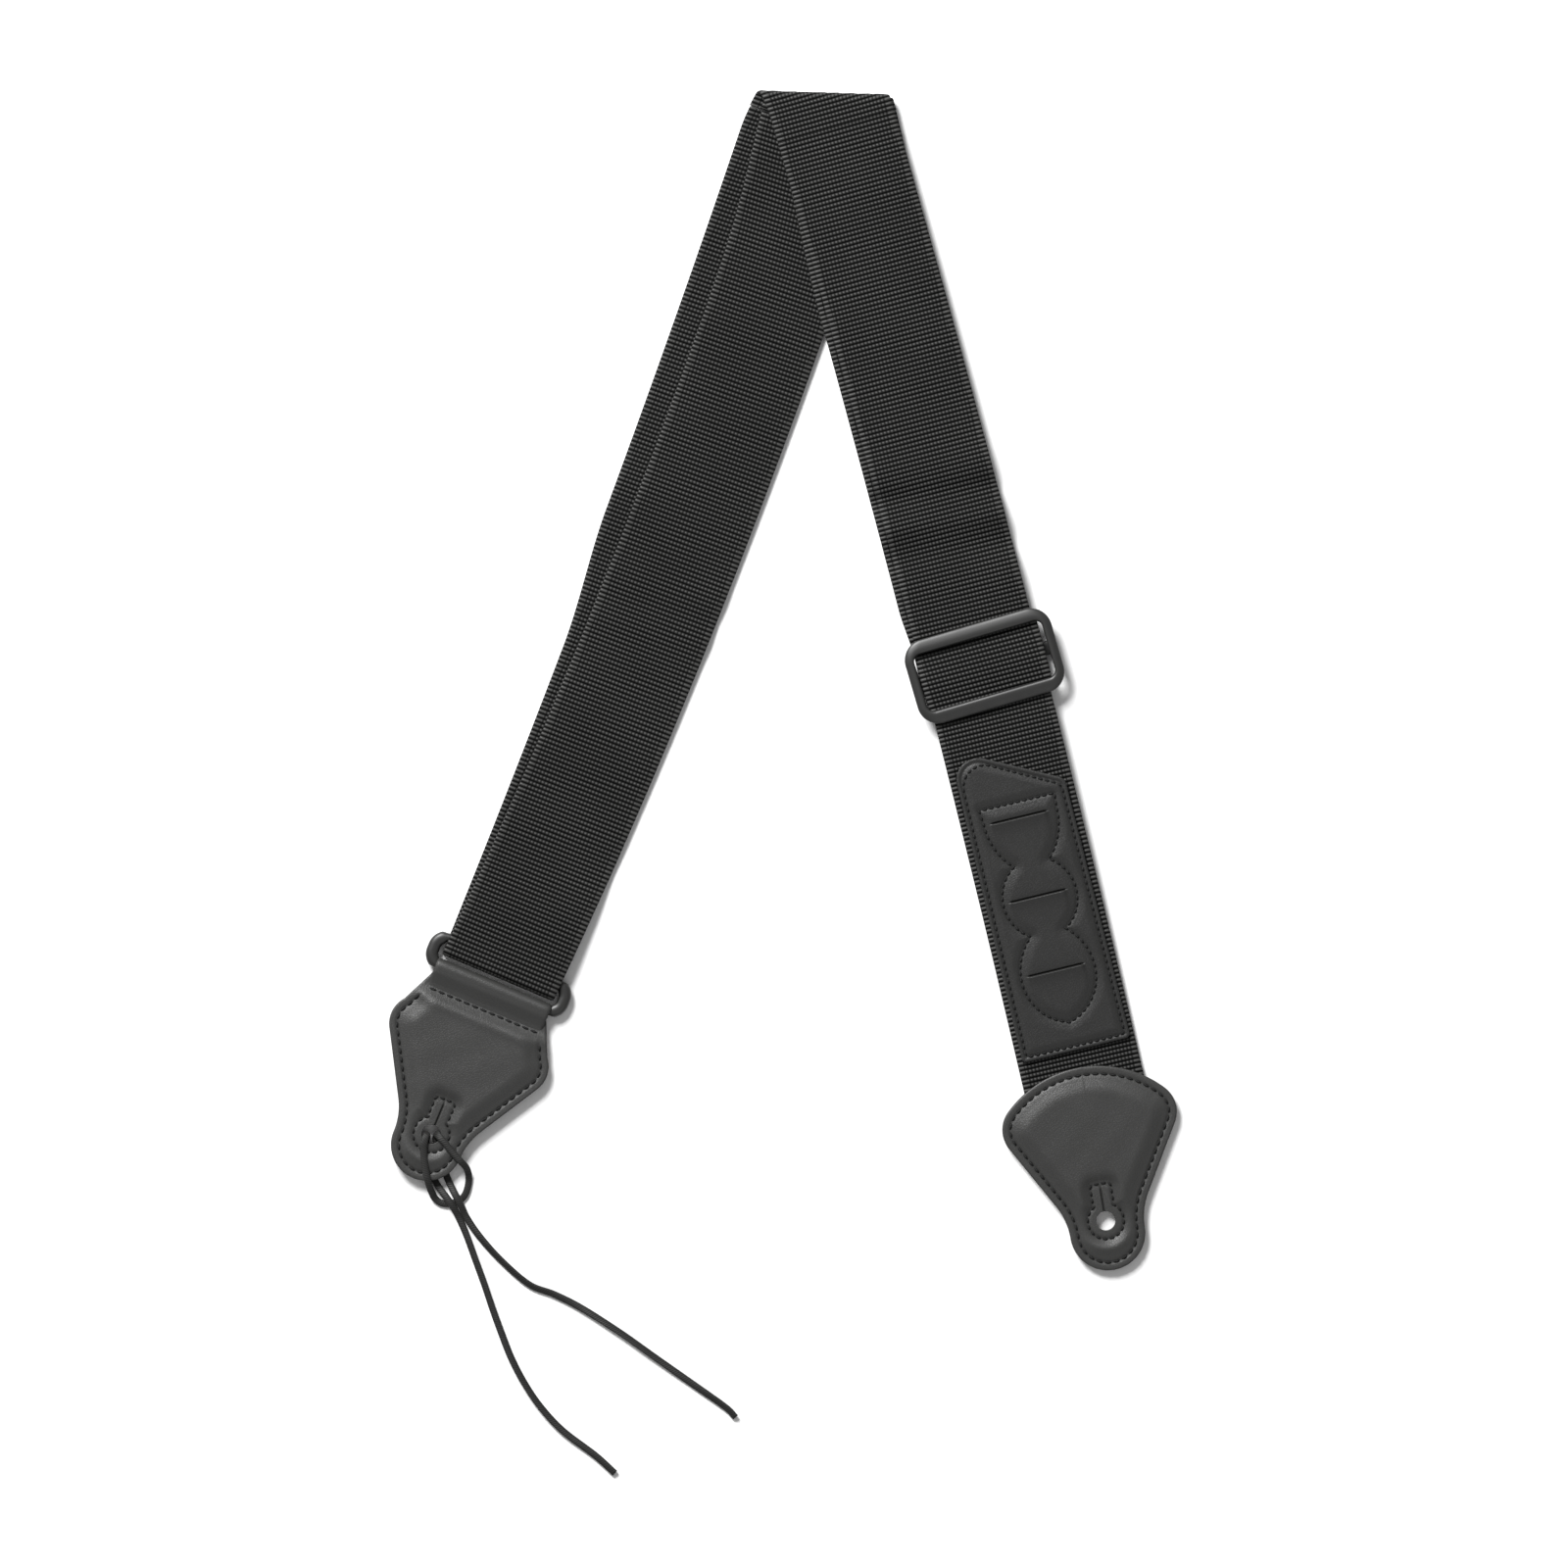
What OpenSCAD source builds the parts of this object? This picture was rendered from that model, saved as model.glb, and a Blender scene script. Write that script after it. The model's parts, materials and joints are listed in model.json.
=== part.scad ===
// Guitar strap, laid flat and folded once: ribbed webbing with a tri-glide slider,
// a rectangular ring, two leather ends, a leather pick holder and a tie lace.
// Millimetres. The origin is the centre of the button hole, on the surface it lies on.

/* [Webbing] */
// Width of the webbing
web_w = 50; // [38:1:60]
// Thickness of the webbing
web_t = 1.3; // [1:0.1:1.6]
// Gap between two webbing layers that lie on each other
layer_gap = 0.1; // [0.05:0.05:0.2]
// Open space inside the fold, between the two inner layers
fold_gap = 1; // [0.8:0.1:2]

/* [Layout] */
// Length of the front run, from the fold to the button end
front_len = 414.5; // [360:0.5:500]
// Lean of the front run to the left, in degrees
front_lean = 14.6; // [5:0.1:16]
// Sideways bow of the front run at its middle
front_bow = 2.7; // [0:0.1:4]
// Length of the back run, from the fold to the ring
back_len = 380.5; // [320:0.5:460]
// Lean of the back run to the right, in degrees
back_lean = 20.25; // [18:0.05:28]
// Sideways bow of the back run at its middle
back_bow = 3; // [0:0.1:4]
// Tilt of the fold line, in degrees
fold_tilt = 1.7; // [0:0.1:4]
// Sideways offset of the inner layer on the back run
inner_shift = 7; // [0:0.5:8]
// Lean of the ring and the tie end to the right, in degrees
ring_lean = 22.8; // [20:0.1:26]
// Lean of the slider to the left, in degrees
slider_lean = 16.3; // [12:0.1:18]

/* [Slider] */
// Sideways place of the slider on the webbing
slider_side = 0.9; // [-1:0.1:1]
// Distance from the fold to the slider's centre
slider_at = 243.5; // [200:0.5:250]
// Length of the slider along the webbing
slider_l = 36; // [32:1:44]
// Clearance between the webbing and each side arm
arm_clear = 2.6; // [2.2:0.05:4]
// Width of each side arm
arm_w = 3.9; // [2.5:0.05:5]
// Width of the two outer bars
bar_w = 5.9; // [4:0.1:8]
// Thickness of the outer bars
bar_t = 2.4; // [1.8:0.1:3]
// Width of the centre bar
core_w = 6; // [4:0.5:9]
// Thickness of the centre bar
core_t = 2; // [1.6:0.1:2.2]
// Outer corner radius of the slider
slider_r = 9; // [3:0.5:10]

/* [Ring] */
// Thickness of the ring's two bars
ring_rod = 3.6; // [3:0.1:4.5]
// Distance between the ring's two bars
ring_pitch = 12.2; // [11:0.1:16]
// Width of the ring's ends
ring_end_w = 5.2; // [3.6:0.1:6]
// Clearance between the webbing's edge and the ring's end
ring_side = 1.5; // [1:0.1:3]
// Gap between the webbing's loop and the tie end's tab
loop_gap = 1.4; // [0.6:0.1:4]
// Clearance around each bar
rod_clear = 0.1; // [0.1:0.05:0.3]

/* [Leather ends] */
// Thickness of one leather layer
hide_t = 1.2; // [0.8:0.1:1.6]
// Radius of each strap hole
hole_r = 4; // [3:0.1:5]
// Radius of the lobe round the hole
lobe_r = 15.6; // [13:0.1:18]
// Distance from the hole to the lobe's centre
lobe_drop = 5; // [3:0.5:7]
// Radius of the concave waist
waist_r = 28; // [20:1:40]
// Lean of the straight flank, in degrees
flank_lean = 30; // [20:1:36]
// Length of the straight flank
flank_len = 30.9; // [24:0.1:38]
// Radius of the shoulder
shoulder_r = 12.5; // [8:0.5:16]
// Distance from the hole to the top edge of the button end
top_at = 64.5; // [58:0.5:76]
// Lean of the button end to the left, in degrees
button_lean = 9.2; // [0:0.1:12]
// Sideways place of the webbing in the button end
tail_side = 0.3; // [0:0.1:6]
// Length of the webbing that is sewn inside the button end
tail_len = 24; // [16:1:30]
// Length of the thin slit above each hole
slit_l = 14.3; // [10:0.1:18]
// Width of the thin slits
slit_w = 0.6; // [0.4:0.1:1]
// Distance from the tie end's hole to the ring's bar
tie_reach = 65.8; // [60:0.1:78]
// Ratio of the tie end's outline to the button end's
tie_ratio = 0.955; // [0.85:0.005:1.05]
// Length of the tie end's padded body above the hole
tie_body = 58; // [50:0.5:60]
// Height of the tie end above the surface, over the lace
tie_lift = 1.4; // [1.3:0.1:2]

/* [Pick holder] */
// Width of the patch
patch_w = 45; // [40:1:48]
// Length of the patch on its left side
patch_l = 133.3; // [126:0.1:134]
// Length of the patch on its right side
patch_short = 110.8; // [108:0.1:124]
// Thickness of the patch
patch_t = 1.6; // [1:0.1:2]
// Length of the three pick slits
pick_slit = 24.4; // [20:0.1:26]
// Half-width of the pick pockets
pocket_w = 15.5; // [13:0.5:17]

/* [Stitching] */
// Thickness of the thread
thread = 0.8; // [0.5:0.1:1]
// Height of a stitch above the leather
stitch_h = 0.3; // [0.2:0.05:0.5]
// Stitch spacing on the leather ends
end_pitch = 3.6; // [3:0.1:5]
// Stitch spacing on the pick holder
patch_pitch = 2.8; // [2.4:0.1:4]
// Distance from the edge to the stitching on the leather ends
end_inset = 3.3; // [2.5:0.1:5]

/* [Lace] */
// Width of the lace
lace_w = 2.6; // [1.6:0.1:2.6]
// Thickness of the lace
lace_t = 1.2; // [0.8:0.1:1.2]

/* [Hidden] */
$fn = 64;

// Heights of the layers in the fold stack
inner_back_z = web_t + layer_gap;
fold_z = inner_back_z + web_t + fold_gap / 2;
inner_front_z = fold_z + fold_gap / 2;
top_z = inner_front_z + web_t + layer_gap;
fold_out_r = top_z + web_t - fold_z;
fold_in_r = fold_gap / 2 + web_t;
// Heights in the button end
tail_z = hide_t;
// Slider: the loop's inner radius, the centre bar's height and the outer bars' height
core_z = top_z - layer_gap - web_t - layer_gap - core_t / 2;
core_r = core_t / 2 + layer_gap;
over_z = top_z + web_t + 0.3;
loop_leg = 30;
tail_rise = 14;
// Ring: height of its bars and inner radius of the webbing and the leather round them
rod_z = web_t + rod_clear + ring_rod / 2;
rod_r = ring_rod / 2 + rod_clear;
ring_win = web_w + 2 * ring_side;
ring_slack = ring_pitch - 2 * rod_r - web_t - hide_t - loop_gap;
ring_l = ring_win + 2 * ring_end_w;
loop_stub = 60;
stub_flat = 8;
// Where the front run starts to slope down to the button end
flat_end = slider_at + slider_l / 2 + 13;
// Size of the cutting blocks, and how far a layer runs past the fold line before it is cut there
big = 900;
fold_over = 14;

// Unit vectors of a direction that leans to the right by a, up and across
function up(a) = [sin(a), cos(a)];
function across(a) = [cos(a), -sin(a)];
function unit(v) = v / norm(v);
// A parabolic bow and its slope, at s of length l
function bow(h, s, l) = 4 * h * s / l * (1 - s / l);
function bow_slope(h, s, l) = atan(4 * h / l * (1 - 2 * s / l));

// Front run: its low end, the fold and the centreline at s from the fold
low_end = top_at * up(-button_lean) - tail_side * across(-button_lean);
front_top = low_end + front_len * up(-front_lean);
function front_at(s) = front_top - s * up(-front_lean)
    + bow(front_bow, s, front_len) * across(-front_lean);
function front_dir(s) = -front_lean - bow_slope(front_bow, s, front_len);

// Back run: the fold carries the webbing sideways as it goes round
fold_shift = PI * (fold_out_r - web_t / 2) * tan(-front_dir(0) + fold_tilt);
back_top = front_top - fold_shift * across(fold_tilt);
function back_at(s) = back_top - s * up(back_lean) + bow(back_bow, s, back_len) * across(back_lean);
function back_dir(s) = back_lean - bow_slope(back_bow, s, back_len);
ring_bar = back_at(back_len);
tie_bar = ring_bar - ring_pitch * up(ring_lean);
tie_hole = tie_bar - tie_reach * up(ring_lean);

// Sloped part of the front run
slope_from = front_at(flat_end);
slope_run = norm(slope_from - low_end);
slope_dir = atan2((slope_from - low_end).x, (slope_from - low_end).y);
slope_tilt = atan((top_z - tail_z) / slope_run);

// Outline of a layer of a run between s0 and s1, whose sideways offset goes from o0 to o1
function edge(back, s, o) = back ? back_at(s) + o * across(back_dir(s)) : front_at(s) + o * across(front_dir(s));
function strip(back, s0, s1, o0, o1, n = 8) = concat(
    [for (i = [0:n]) edge(back, s0 + (s1 - s0) * i / n, o0 + (o1 - o0) * i / n + web_w / 2)],
    [for (i = [n:-1:0]) edge(back, s0 + (s1 - s0) * i / n, o0 + (o1 - o0) * i / n - web_w / 2)]);

// Points of an arc about c from angle a0 to angle a1
function arc(c, r, a0, a1, n = 8) =
    [for (i = [0:n]) let (a = a0 + (a1 - a0) * i / n) c + r * [cos(a), sin(a)]];
// Polygon from corners [x, y, radius]
function rounded(k, n = 6) = let (m = len(k)) [for (i = [0:m - 1])
    let (p = [k[i][0], k[i][1]], r = k[i][2],
         a = unit([k[(i + m - 1) % m][0], k[(i + m - 1) % m][1]] - p),
         b = unit([k[(i + 1) % m][0], k[(i + 1) % m][1]] - p),
         half = acos(a * b) / 2, c = p + unit(a + b) * r / sin(half),
         s = p + a * r / tan(half) - c, e = p + b * r / tan(half) - c)
    for (j = [0:n]) c + r * unit(s * (1 - j / n) + e * j / n)];
function box_of(w, l, r) = [[w / 2, l / 2, r], [-w / 2, l / 2, r], [-w / 2, -l / 2, r], [w / 2, -l / 2, r]];
function mirrored(p) = [for (i = [len(p) - 1:-1:0]) [-p[i].x, p[i].y]];

// Half outline of a leather end at an inset: lobe, waist, flank and shoulder, all tangent
waist_end = [lobe_r + waist_r * (1 - cos(flank_lean)), waist_r * sin(flank_lean) - lobe_drop];
shoulder_c = waist_end + flank_len * up(flank_lean) - shoulder_r * across(flank_lean);
top_drop = top_at - shoulder_c.y;
top_r = (pow(shoulder_c.x, 2) + pow(top_drop, 2) - pow(shoulder_r, 2)) / (2 * (top_drop - shoulder_r));
top_a = atan2(shoulder_c.y - top_at + top_r, shoulder_c.x);
function half_low(i, k = 1) = concat(arc([0, -lobe_drop * k], lobe_r * k - i, -90, 0, 12),
    arc([(lobe_r + waist_r) * k, -lobe_drop * k], waist_r * k + i, 180, 180 - flank_lean, 6));
function half_button(i) = concat(half_low(i), arc(shoulder_c, shoulder_r - i, -flank_lean, top_a, 8),
    arc([0, top_at - top_r], top_r - i, top_a, 90, 10));
function half_tie(i) = concat(half_low(i, tie_ratio),
    arc(shoulder_c * tie_ratio, shoulder_r * tie_ratio - i, -flank_lean, 40, 8),
    [[web_w / 2 + 0.5 - i / 2, tie_body - i / 2]]);
function whole(h) = concat(h, mirrored(h));
// Keyhole stitching: a ring round the hole that opens into a slot
key_r = 7.5;
key_w = 4.3;
key_top = 15.6;
key_a = acos(key_w / key_r);
function keyhole() = concat([[key_w, key_top - 1.5]], arc([0, 0], key_r, key_a, -180 - key_a, 24),
    [[-key_w, key_top - 1.5], [1.5 - key_w, key_top], [key_w - 1.5, key_top], [key_w, key_top - 1.5]]);

// Running length along a path, point by point
function lengths(p) = [for (i = 0, d = 0; i < len(p); i = i + 1,
    d = i < len(p) ? d + norm(p[i] - p[i - 1]) : d) d];

// Stitches laid along a path of points, on the plane z = 0
module stitches(path, pitch) {
    d = lengths(path);
    xs = [for (i = [0:len(path) - 1]) [d[i], path[i].x]];
    ys = [for (i = [0:len(path) - 1]) [d[i], path[i].y]];
    total = d[len(d) - 1];
    n = floor(total / pitch);
    step = total / n;
    for (k = [0:n - 1]) {
        p = [lookup((k + 0.2) * step, xs), lookup((k + 0.2) * step, ys)];
        q = [lookup((k + 0.8) * step, xs), lookup((k + 0.8) * step, ys)];
        translate([(p.x + q.x) / 2, (p.y + q.y) / 2, stitch_h / 2])
            rotate(atan2(q.y - p.y, q.x - p.x))
                cube([pitch * 0.62, thread, stitch_h], center = true);
    }
}

// Places children at a plan point, with +Y turned to lean by a degrees to the right
module at(p, a, z = 0) translate([p.x, p.y, z]) rotate(-a) children();
module layer(outline, z) translate([0, 0, z]) linear_extrude(web_t) polygon(outline);
// A side profile in (distance up the webbing, height), spread across the webbing's width
module spread(w, side = 0) translate([side - w / 2, 0, 0])
    rotate([90, 0, 90]) linear_extrude(w) children();
// Everything on the near side of the fold line
module below_fold() at(front_top, fold_tilt) translate([-big / 2, -big, -1]) cube([big, big, 20]);
// Half a webbing wrap about the fold line or a bar, open towards +Y
module half_wrap(inner, w) rotate([0, 90, 0]) translate([0, 0, -w / 2]) linear_extrude(w)
    intersection() {
        difference() {
            circle(inner + web_t);
            circle(inner);
        }
        translate([-20, 0]) square([40, 20]);
    }

// ---- back run ----
module webbing_back_running() color("#2c2c2b") intersection() {
    layer(strip(true, -fold_over, back_len - loop_stub, 0, 0), 0);
    below_fold();
}
module webbing_back_inner() color("#2f2f2e") intersection() {
    layer(strip(true, -fold_over, back_len - loop_stub, inner_shift, inner_shift / 2), inner_back_z);
    below_fold();
}
module fold_wrap(inner) at(front_top - fold_shift / 2 * across(fold_tilt), fold_tilt, fold_z)
    half_wrap(inner, (web_w + 2) / cos(front_lean + fold_tilt));
module webbing_fold_outer() color("#2c2c2b") fold_wrap(fold_out_r - web_t);
module webbing_fold_inner() color("#2f2f2e") fold_wrap(fold_in_r - web_t);

// ---- front run ----
module webbing_front_running() color("#2c2c2b") {
    intersection() {
        layer(strip(false, -fold_over, flat_end, 0, 0), top_z);
        below_fold();
    }
    intersection() {
        at(low_end, slope_dir) spread(web_w) polygon([
            [-6, tail_z - 6 * tan(slope_tilt)], [-6, tail_z - 6 * tan(slope_tilt) + web_t],
            [slope_run, top_z + web_t], [slope_run, top_z]]);
        at(top_at * up(-button_lean), -button_lean) translate([-big / 2, 0, -1]) cube([big, big, 20]);
    }
}
module webbing_front_inner() color("#2f2f2e") intersection() {
    layer(strip(false, -fold_over, slider_at - loop_leg - 1.5, 3, -2), inner_front_z);
    below_fold();
}

// ---- pick holder, on the sloped part ----
module on_slope(z = 0) at(low_end, slope_dir, tail_z + web_t) rotate([slope_tilt, 0, 0])
    translate([0, 0, z]) children();
patch_foot = 7.3;
patch_side = 0.2;
function patch_outline(i) = rounded([
    [patch_side + patch_w / 2 + 0.5 - i, patch_foot + i, 2],
    [patch_side + patch_w / 2 - 0.8 - i, patch_short + patch_foot - i, 4],
    [patch_side - patch_w / 2 + 0.3 + i, patch_l + patch_foot - 1.6 * i, 9],
    [patch_side - patch_w / 2 - 0.5 + i, patch_foot + i, 2]]);
pick_slits = [41.6, 73.2, 106.7];
module pick_holder_patch() color("#4a4a48") on_slope() difference() {
    linear_extrude(patch_t) polygon(patch_outline(0));
    for (a = pick_slits) translate([patch_side - 0.5 - pick_slit / 2, a - slit_w / 2, -1])
        cube([pick_slit, slit_w, patch_t + 2]);
}
module pick_holder_edge_stitching() color("#161616") on_slope(patch_t)
    stitches(concat(patch_outline(2), [patch_outline(2)[0]]), patch_pitch);
// Right side of the three pockets, from the top line down to the tip, as tangent arcs
pocket_notch = pocket_w - 8;
pocket_ends = [87.2, 57.6];
pocket_tip = 19.2;
function bulge(a0, c0, a1, c1) = let (d = abs(a1 - a0), s = c0 - c1, r = (d * d + s * s) / (2 * s))
    [for (j = [0:6]) let (t = j / 6, e = d * t) [c0 - r + sqrt(r * r - e * e), a0 + (a1 - a0) * t]];
function turned(p) = [for (i = [len(p) - 1:-1:0]) p[i]];
function pocket_side() = concat([[pocket_w + 0.5, 113.2]],
    bulge(106.6, pocket_w, pocket_ends[0], pocket_notch),
    turned(bulge(72.5, pocket_w, pocket_ends[0], pocket_notch)),
    bulge(72.5, pocket_w, pocket_ends[1], pocket_notch),
    turned(bulge(39.8, pocket_w, pocket_ends[1], pocket_notch)),
    bulge(39.8, pocket_w, pocket_tip, 0));
function shifted(p, d) = [for (q = p) [q.x + d, q.y]];
module pick_pocket_stitching() color("#161616") on_slope(patch_t) {
    side = pocket_side();
    stitches(shifted(concat(side, mirrored(side), [side[0]]), patch_side), patch_pitch);
}

// ---- slider ----
module at_slider(z = 0)
    at(front_at(slider_at) + slider_side * across(-slider_lean), -slider_lean, z) children();
slider_w = web_w + 2 * (arm_clear + arm_w);
module tri_glide_slider() color("#4b4b4b") at_slider() {
    translate([0, 0, over_z]) linear_extrude(bar_t) difference() {
        polygon(rounded(box_of(slider_w, slider_l, slider_r)));
        polygon(rounded(box_of(web_w + 2 * arm_clear, slider_l - 2 * bar_w, 3)));
    }
    for (m = [0, 1]) mirror([m, 0, 0]) translate([web_w / 2 + arm_clear, -slider_l / 4, core_z - core_t / 2])
        cube([arm_w, slider_l / 2, over_z - core_z + core_t / 2]);
    spread(slider_w - arm_w) {
        translate([0, core_z]) square([core_w - core_t, core_t], center = true);
        for (y = [-1, 1]) translate([y * (core_w - core_t) / 2, core_z]) circle(core_t / 2);
    }
}
loop_side = -1.5;
module webbing_slider_loop() color("#2c2c2b") at_slider() spread(web_w, loop_side) {
    y0 = -(core_w - core_t) / 2;
    low = core_z - core_r - web_t;
    tail_top = inner_front_z - layer_gap;
    translate([y0, core_z + core_r]) square([loop_leg - y0, web_t]);
    translate([y0, core_z]) intersection() {
        difference() {
            circle(core_r + web_t);
            circle(core_r);
        }
        translate([-20, -20]) square([20, 40]);
    }
    polygon([[y0, low], [core_w / 2 + 2, low], [tail_rise, tail_top - web_t], [loop_leg - 2, tail_top - web_t],
        [loop_leg - 2, tail_top], [tail_rise, tail_top], [core_w / 2 + 2, low + web_t], [y0, low + web_t]]);
}
module slider_loop_stitching() color("#161616")
    at_slider(inner_front_z - layer_gap - web_t - stitch_h)
        for (y = [tail_rise + 3, loop_leg - 5])
            stitches([[loop_side - web_w / 2 + 3, y], [loop_side + web_w / 2 - 3, y]], 4);

// ---- ring and the webbing round it ----
module webbing_ring_loop() color("#2c2c2b") at(ring_bar, ring_lean) {
    end = loop_stub - 1.5;
    spread(web_w) {
        translate([-ring_slack, 0]) square([end + ring_slack, web_t]);
        polygon([[-ring_slack, rod_z + rod_r], [stub_flat, rod_z + rod_r], [end, inner_back_z],
            [end, inner_back_z + web_t], [stub_flat, rod_z + rod_r + web_t],
            [-ring_slack, rod_z + rod_r + web_t]]);
    }
    translate([0, -ring_slack, rod_z]) rotate(180) half_wrap(rod_r, web_w);
}
module ring() color("#505050") at(ring_bar - ring_pitch / 2 * up(ring_lean), ring_lean, rod_z) {
    for (y = [-1, 1]) translate([-ring_win / 2 - 0.5, y * ring_pitch / 2, 0]) rotate([0, 90, 0])
        cylinder(r = ring_rod / 2, h = ring_win + 1);
    difference() {
        translate([0, 0, -ring_rod / 2]) linear_extrude(ring_rod) difference() {
            polygon(rounded(box_of(ring_l, ring_pitch + ring_end_w, 7.5)));
            polygon(rounded(box_of(ring_win, ring_pitch - ring_end_w, 2.7)));
        }
        translate([-web_w / 2 - 0.6, -big / 2, -5]) cube([web_w + 1.2, big, 10]);
    }
}

// ---- button end ----
module at_button(z = 0) at([0, 0], -button_lean, z) children();
module hole_and_slit(z) translate([0, 0, z - 1]) {
    cylinder(r = hole_r, h = 8);
    translate([-slit_w / 2, 0, 0]) cube([slit_w, slit_l, 8]);
}
module button_sheet(z, color_name) color(color_name) at_button() difference() {
    translate([0, 0, z]) linear_extrude(hide_t) polygon(whole(half_button(0)));
    hole_and_slit(z);
}
module button_end_back() button_sheet(0, "#4d4a46");
module button_end_front() button_sheet(tail_z + web_t, "#4a4a48");
module button_end_padding() color("#77736c") at_button() difference() {
    translate([0, 0, tail_z]) linear_extrude(web_t) polygon(whole(half_button(1)));
    translate([-tail_side - web_w / 2 - 0.1, top_at - tail_len - 0.1, 0]) cube([web_w + 0.2, big, 8]);
    hole_and_slit(tail_z);
}
module webbing_button_tail() color("#2c2c2b") at_button(tail_z)
    translate([-tail_side - web_w / 2, top_at - tail_len, 0]) cube([web_w, tail_len, web_t]);
module button_end_edge_stitching() color("#161616") at_button(tail_z + web_t + hide_t)
    stitches(concat(whole(half_button(end_inset)), [half_button(end_inset)[0]]), end_pitch);
module button_end_hole_stitching() color("#161616") at_button(tail_z + web_t + hide_t)
    stitches(keyhole(), end_pitch * 0.8);

// ---- tie end ----
pad_t = rod_z + rod_r - 2 * hide_t - tie_lift;
module at_tie(z = 0) at(tie_hole, ring_lean, z) children();
module tie_sheet(z) difference() {
    translate([0, 0, z]) linear_extrude(hide_t) polygon(whole(half_tie(0)));
    hole_and_slit(z);
}
module tie_end_back() color("#4d4a46") at_tie() tie_sheet(tie_lift);
module tie_end_padding() color("#77736c") at_tie() difference() {
    translate([0, 0, tie_lift + hide_t]) linear_extrude(pad_t) polygon(whole(half_tie(1)));
    hole_and_slit(tie_lift + hide_t);
}
tab_hold = 5;
module tie_end_front() color("#4a4a48") at_tie() {
    tie_sheet(rod_z + rod_r - hide_t);
    spread(web_w + 1) {
        translate([tie_body - tab_hold, rod_z + rod_r]) square([tie_reach - tie_body + tab_hold, hide_t]);
        translate([tie_body - tab_hold, rod_z - rod_r - hide_t])
            square([tie_reach - tie_body + tab_hold, hide_t]);
        translate([tie_reach, rod_z]) intersection() {
            difference() {
                circle(rod_r + hide_t);
                circle(rod_r);
            }
            translate([0, -20]) square([20, 40]);
        }
    }
}
module on_tie() at_tie(rod_z + rod_r) children();
module tie_end_edge_stitching() color("#161616") on_tie() {
    half = half_tie(end_inset);
    short = [for (p = half) if (p.y < tie_body - tab_hold - 2) p];
    stitches(concat(turned(mirrored(turned(short))), short), end_pitch);
}
module tie_end_hole_stitching() color("#161616") on_tie() stitches(keyhole(), end_pitch * 0.8);
module tie_end_loop_stitching() color("#161616") on_tie() translate([0, 0, hide_t])
    stitches([[-web_w / 2 + 1, tie_body - tab_hold + 2], [web_w / 2 - 1, tie_body - tab_hold + 2]], end_pitch);

// ---- lace: one cord, drawn as two halves that start at the middle of its bight ----
// Points from the tie hole: [x, y, height]
short_route = [[10.8, -27.8, 0.7], [9.4, -28.5, 0.7], [6.8, -29, 0.7], [3.8, -28.5, 0.7],
    [1.4, -26.6, 1.2], [0.1, -24, 2.8], [-0.8, -21.4, 5], [-1.5, -19, 6], [-2.2, -15.5, 6.1],
    [-2.8, -10.9, 6.1], [-3.1, -6.5, 6.1], [-2.8, -3.4, 6.1], [-2.3, -1, 5.6], [-1.9, 0.3, 4.4],
    [-1.8, 0.6, 3.2], [-1.9, 0.2, 1.6], [-2, -1.3, 0.8], [-2.3, -3.4, 0.7], [-2.4, -7, 0.7],
    [-1.6, -12.5, 0.7], [0.6, -18, 0.7], [3.3, -22.4, 1.1], [6.2, -26.2, 2.1], [8.2, -29, 2.2],
    [9.8, -31.6, 1.7], [11.5, -35, 0.8], [14.3, -41.4, 0.7], [18.2, -52.1, 0.7], [21.9, -62.3, 0.7],
    [25.3, -72.4, 0.7], [29, -82.6, 0.7], [33, -92.7, 0.7], [38.3, -102.9, 0.7], [45.2, -113.1, 0.7],
    [54.6, -123.2, 0.7], [68, -133.4, 0.7], [76.1, -140.7, 0.7]];
long_route = [[10.8, -27.8, 0.7], [12.2, -27.1, 0.7], [13.9, -25.2, 0.7], [15, -22.2, 0.7],
    [15.5, -19, 0.8], [15.3, -16.2, 1.9], [14.4, -13.7, 4.3], [12.7, -11.7, 5.9], [10.9, -9.8, 6.1],
    [8.1, -6.5, 6.1], [5.6, -3.4, 6.1], [3.6, -1.3, 5.8], [2.3, 0, 4.6], [1.9, 0.3, 3.2],
    [1.7, 0, 1.6], [1.7, -1.4, 0.8], [2, -3.6, 0.7], [2.9, -8, 0.7], [4.4, -12.5, 0.7],
    [6, -16.8, 0.7], [7.8, -21, 1], [9.6, -24.5, 2], [11.2, -27.6, 2.2], [12.7, -30.6, 1.7],
    [14.4, -34.4, 0.8], [19.6, -42, 0.7], [28.6, -52.1, 0.7], [40.4, -62.3, 0.7], [50.9, -66.5, 0.7],
    [62.5, -72.4, 0.7], [78.6, -82.6, 0.7], [92.8, -92.7, 0.7], [107.2, -102.9, 0.7],
    [121.7, -113.1, 0.7], [126.1, -117.5, 0.7]];
lace_sides = 8;

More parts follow.
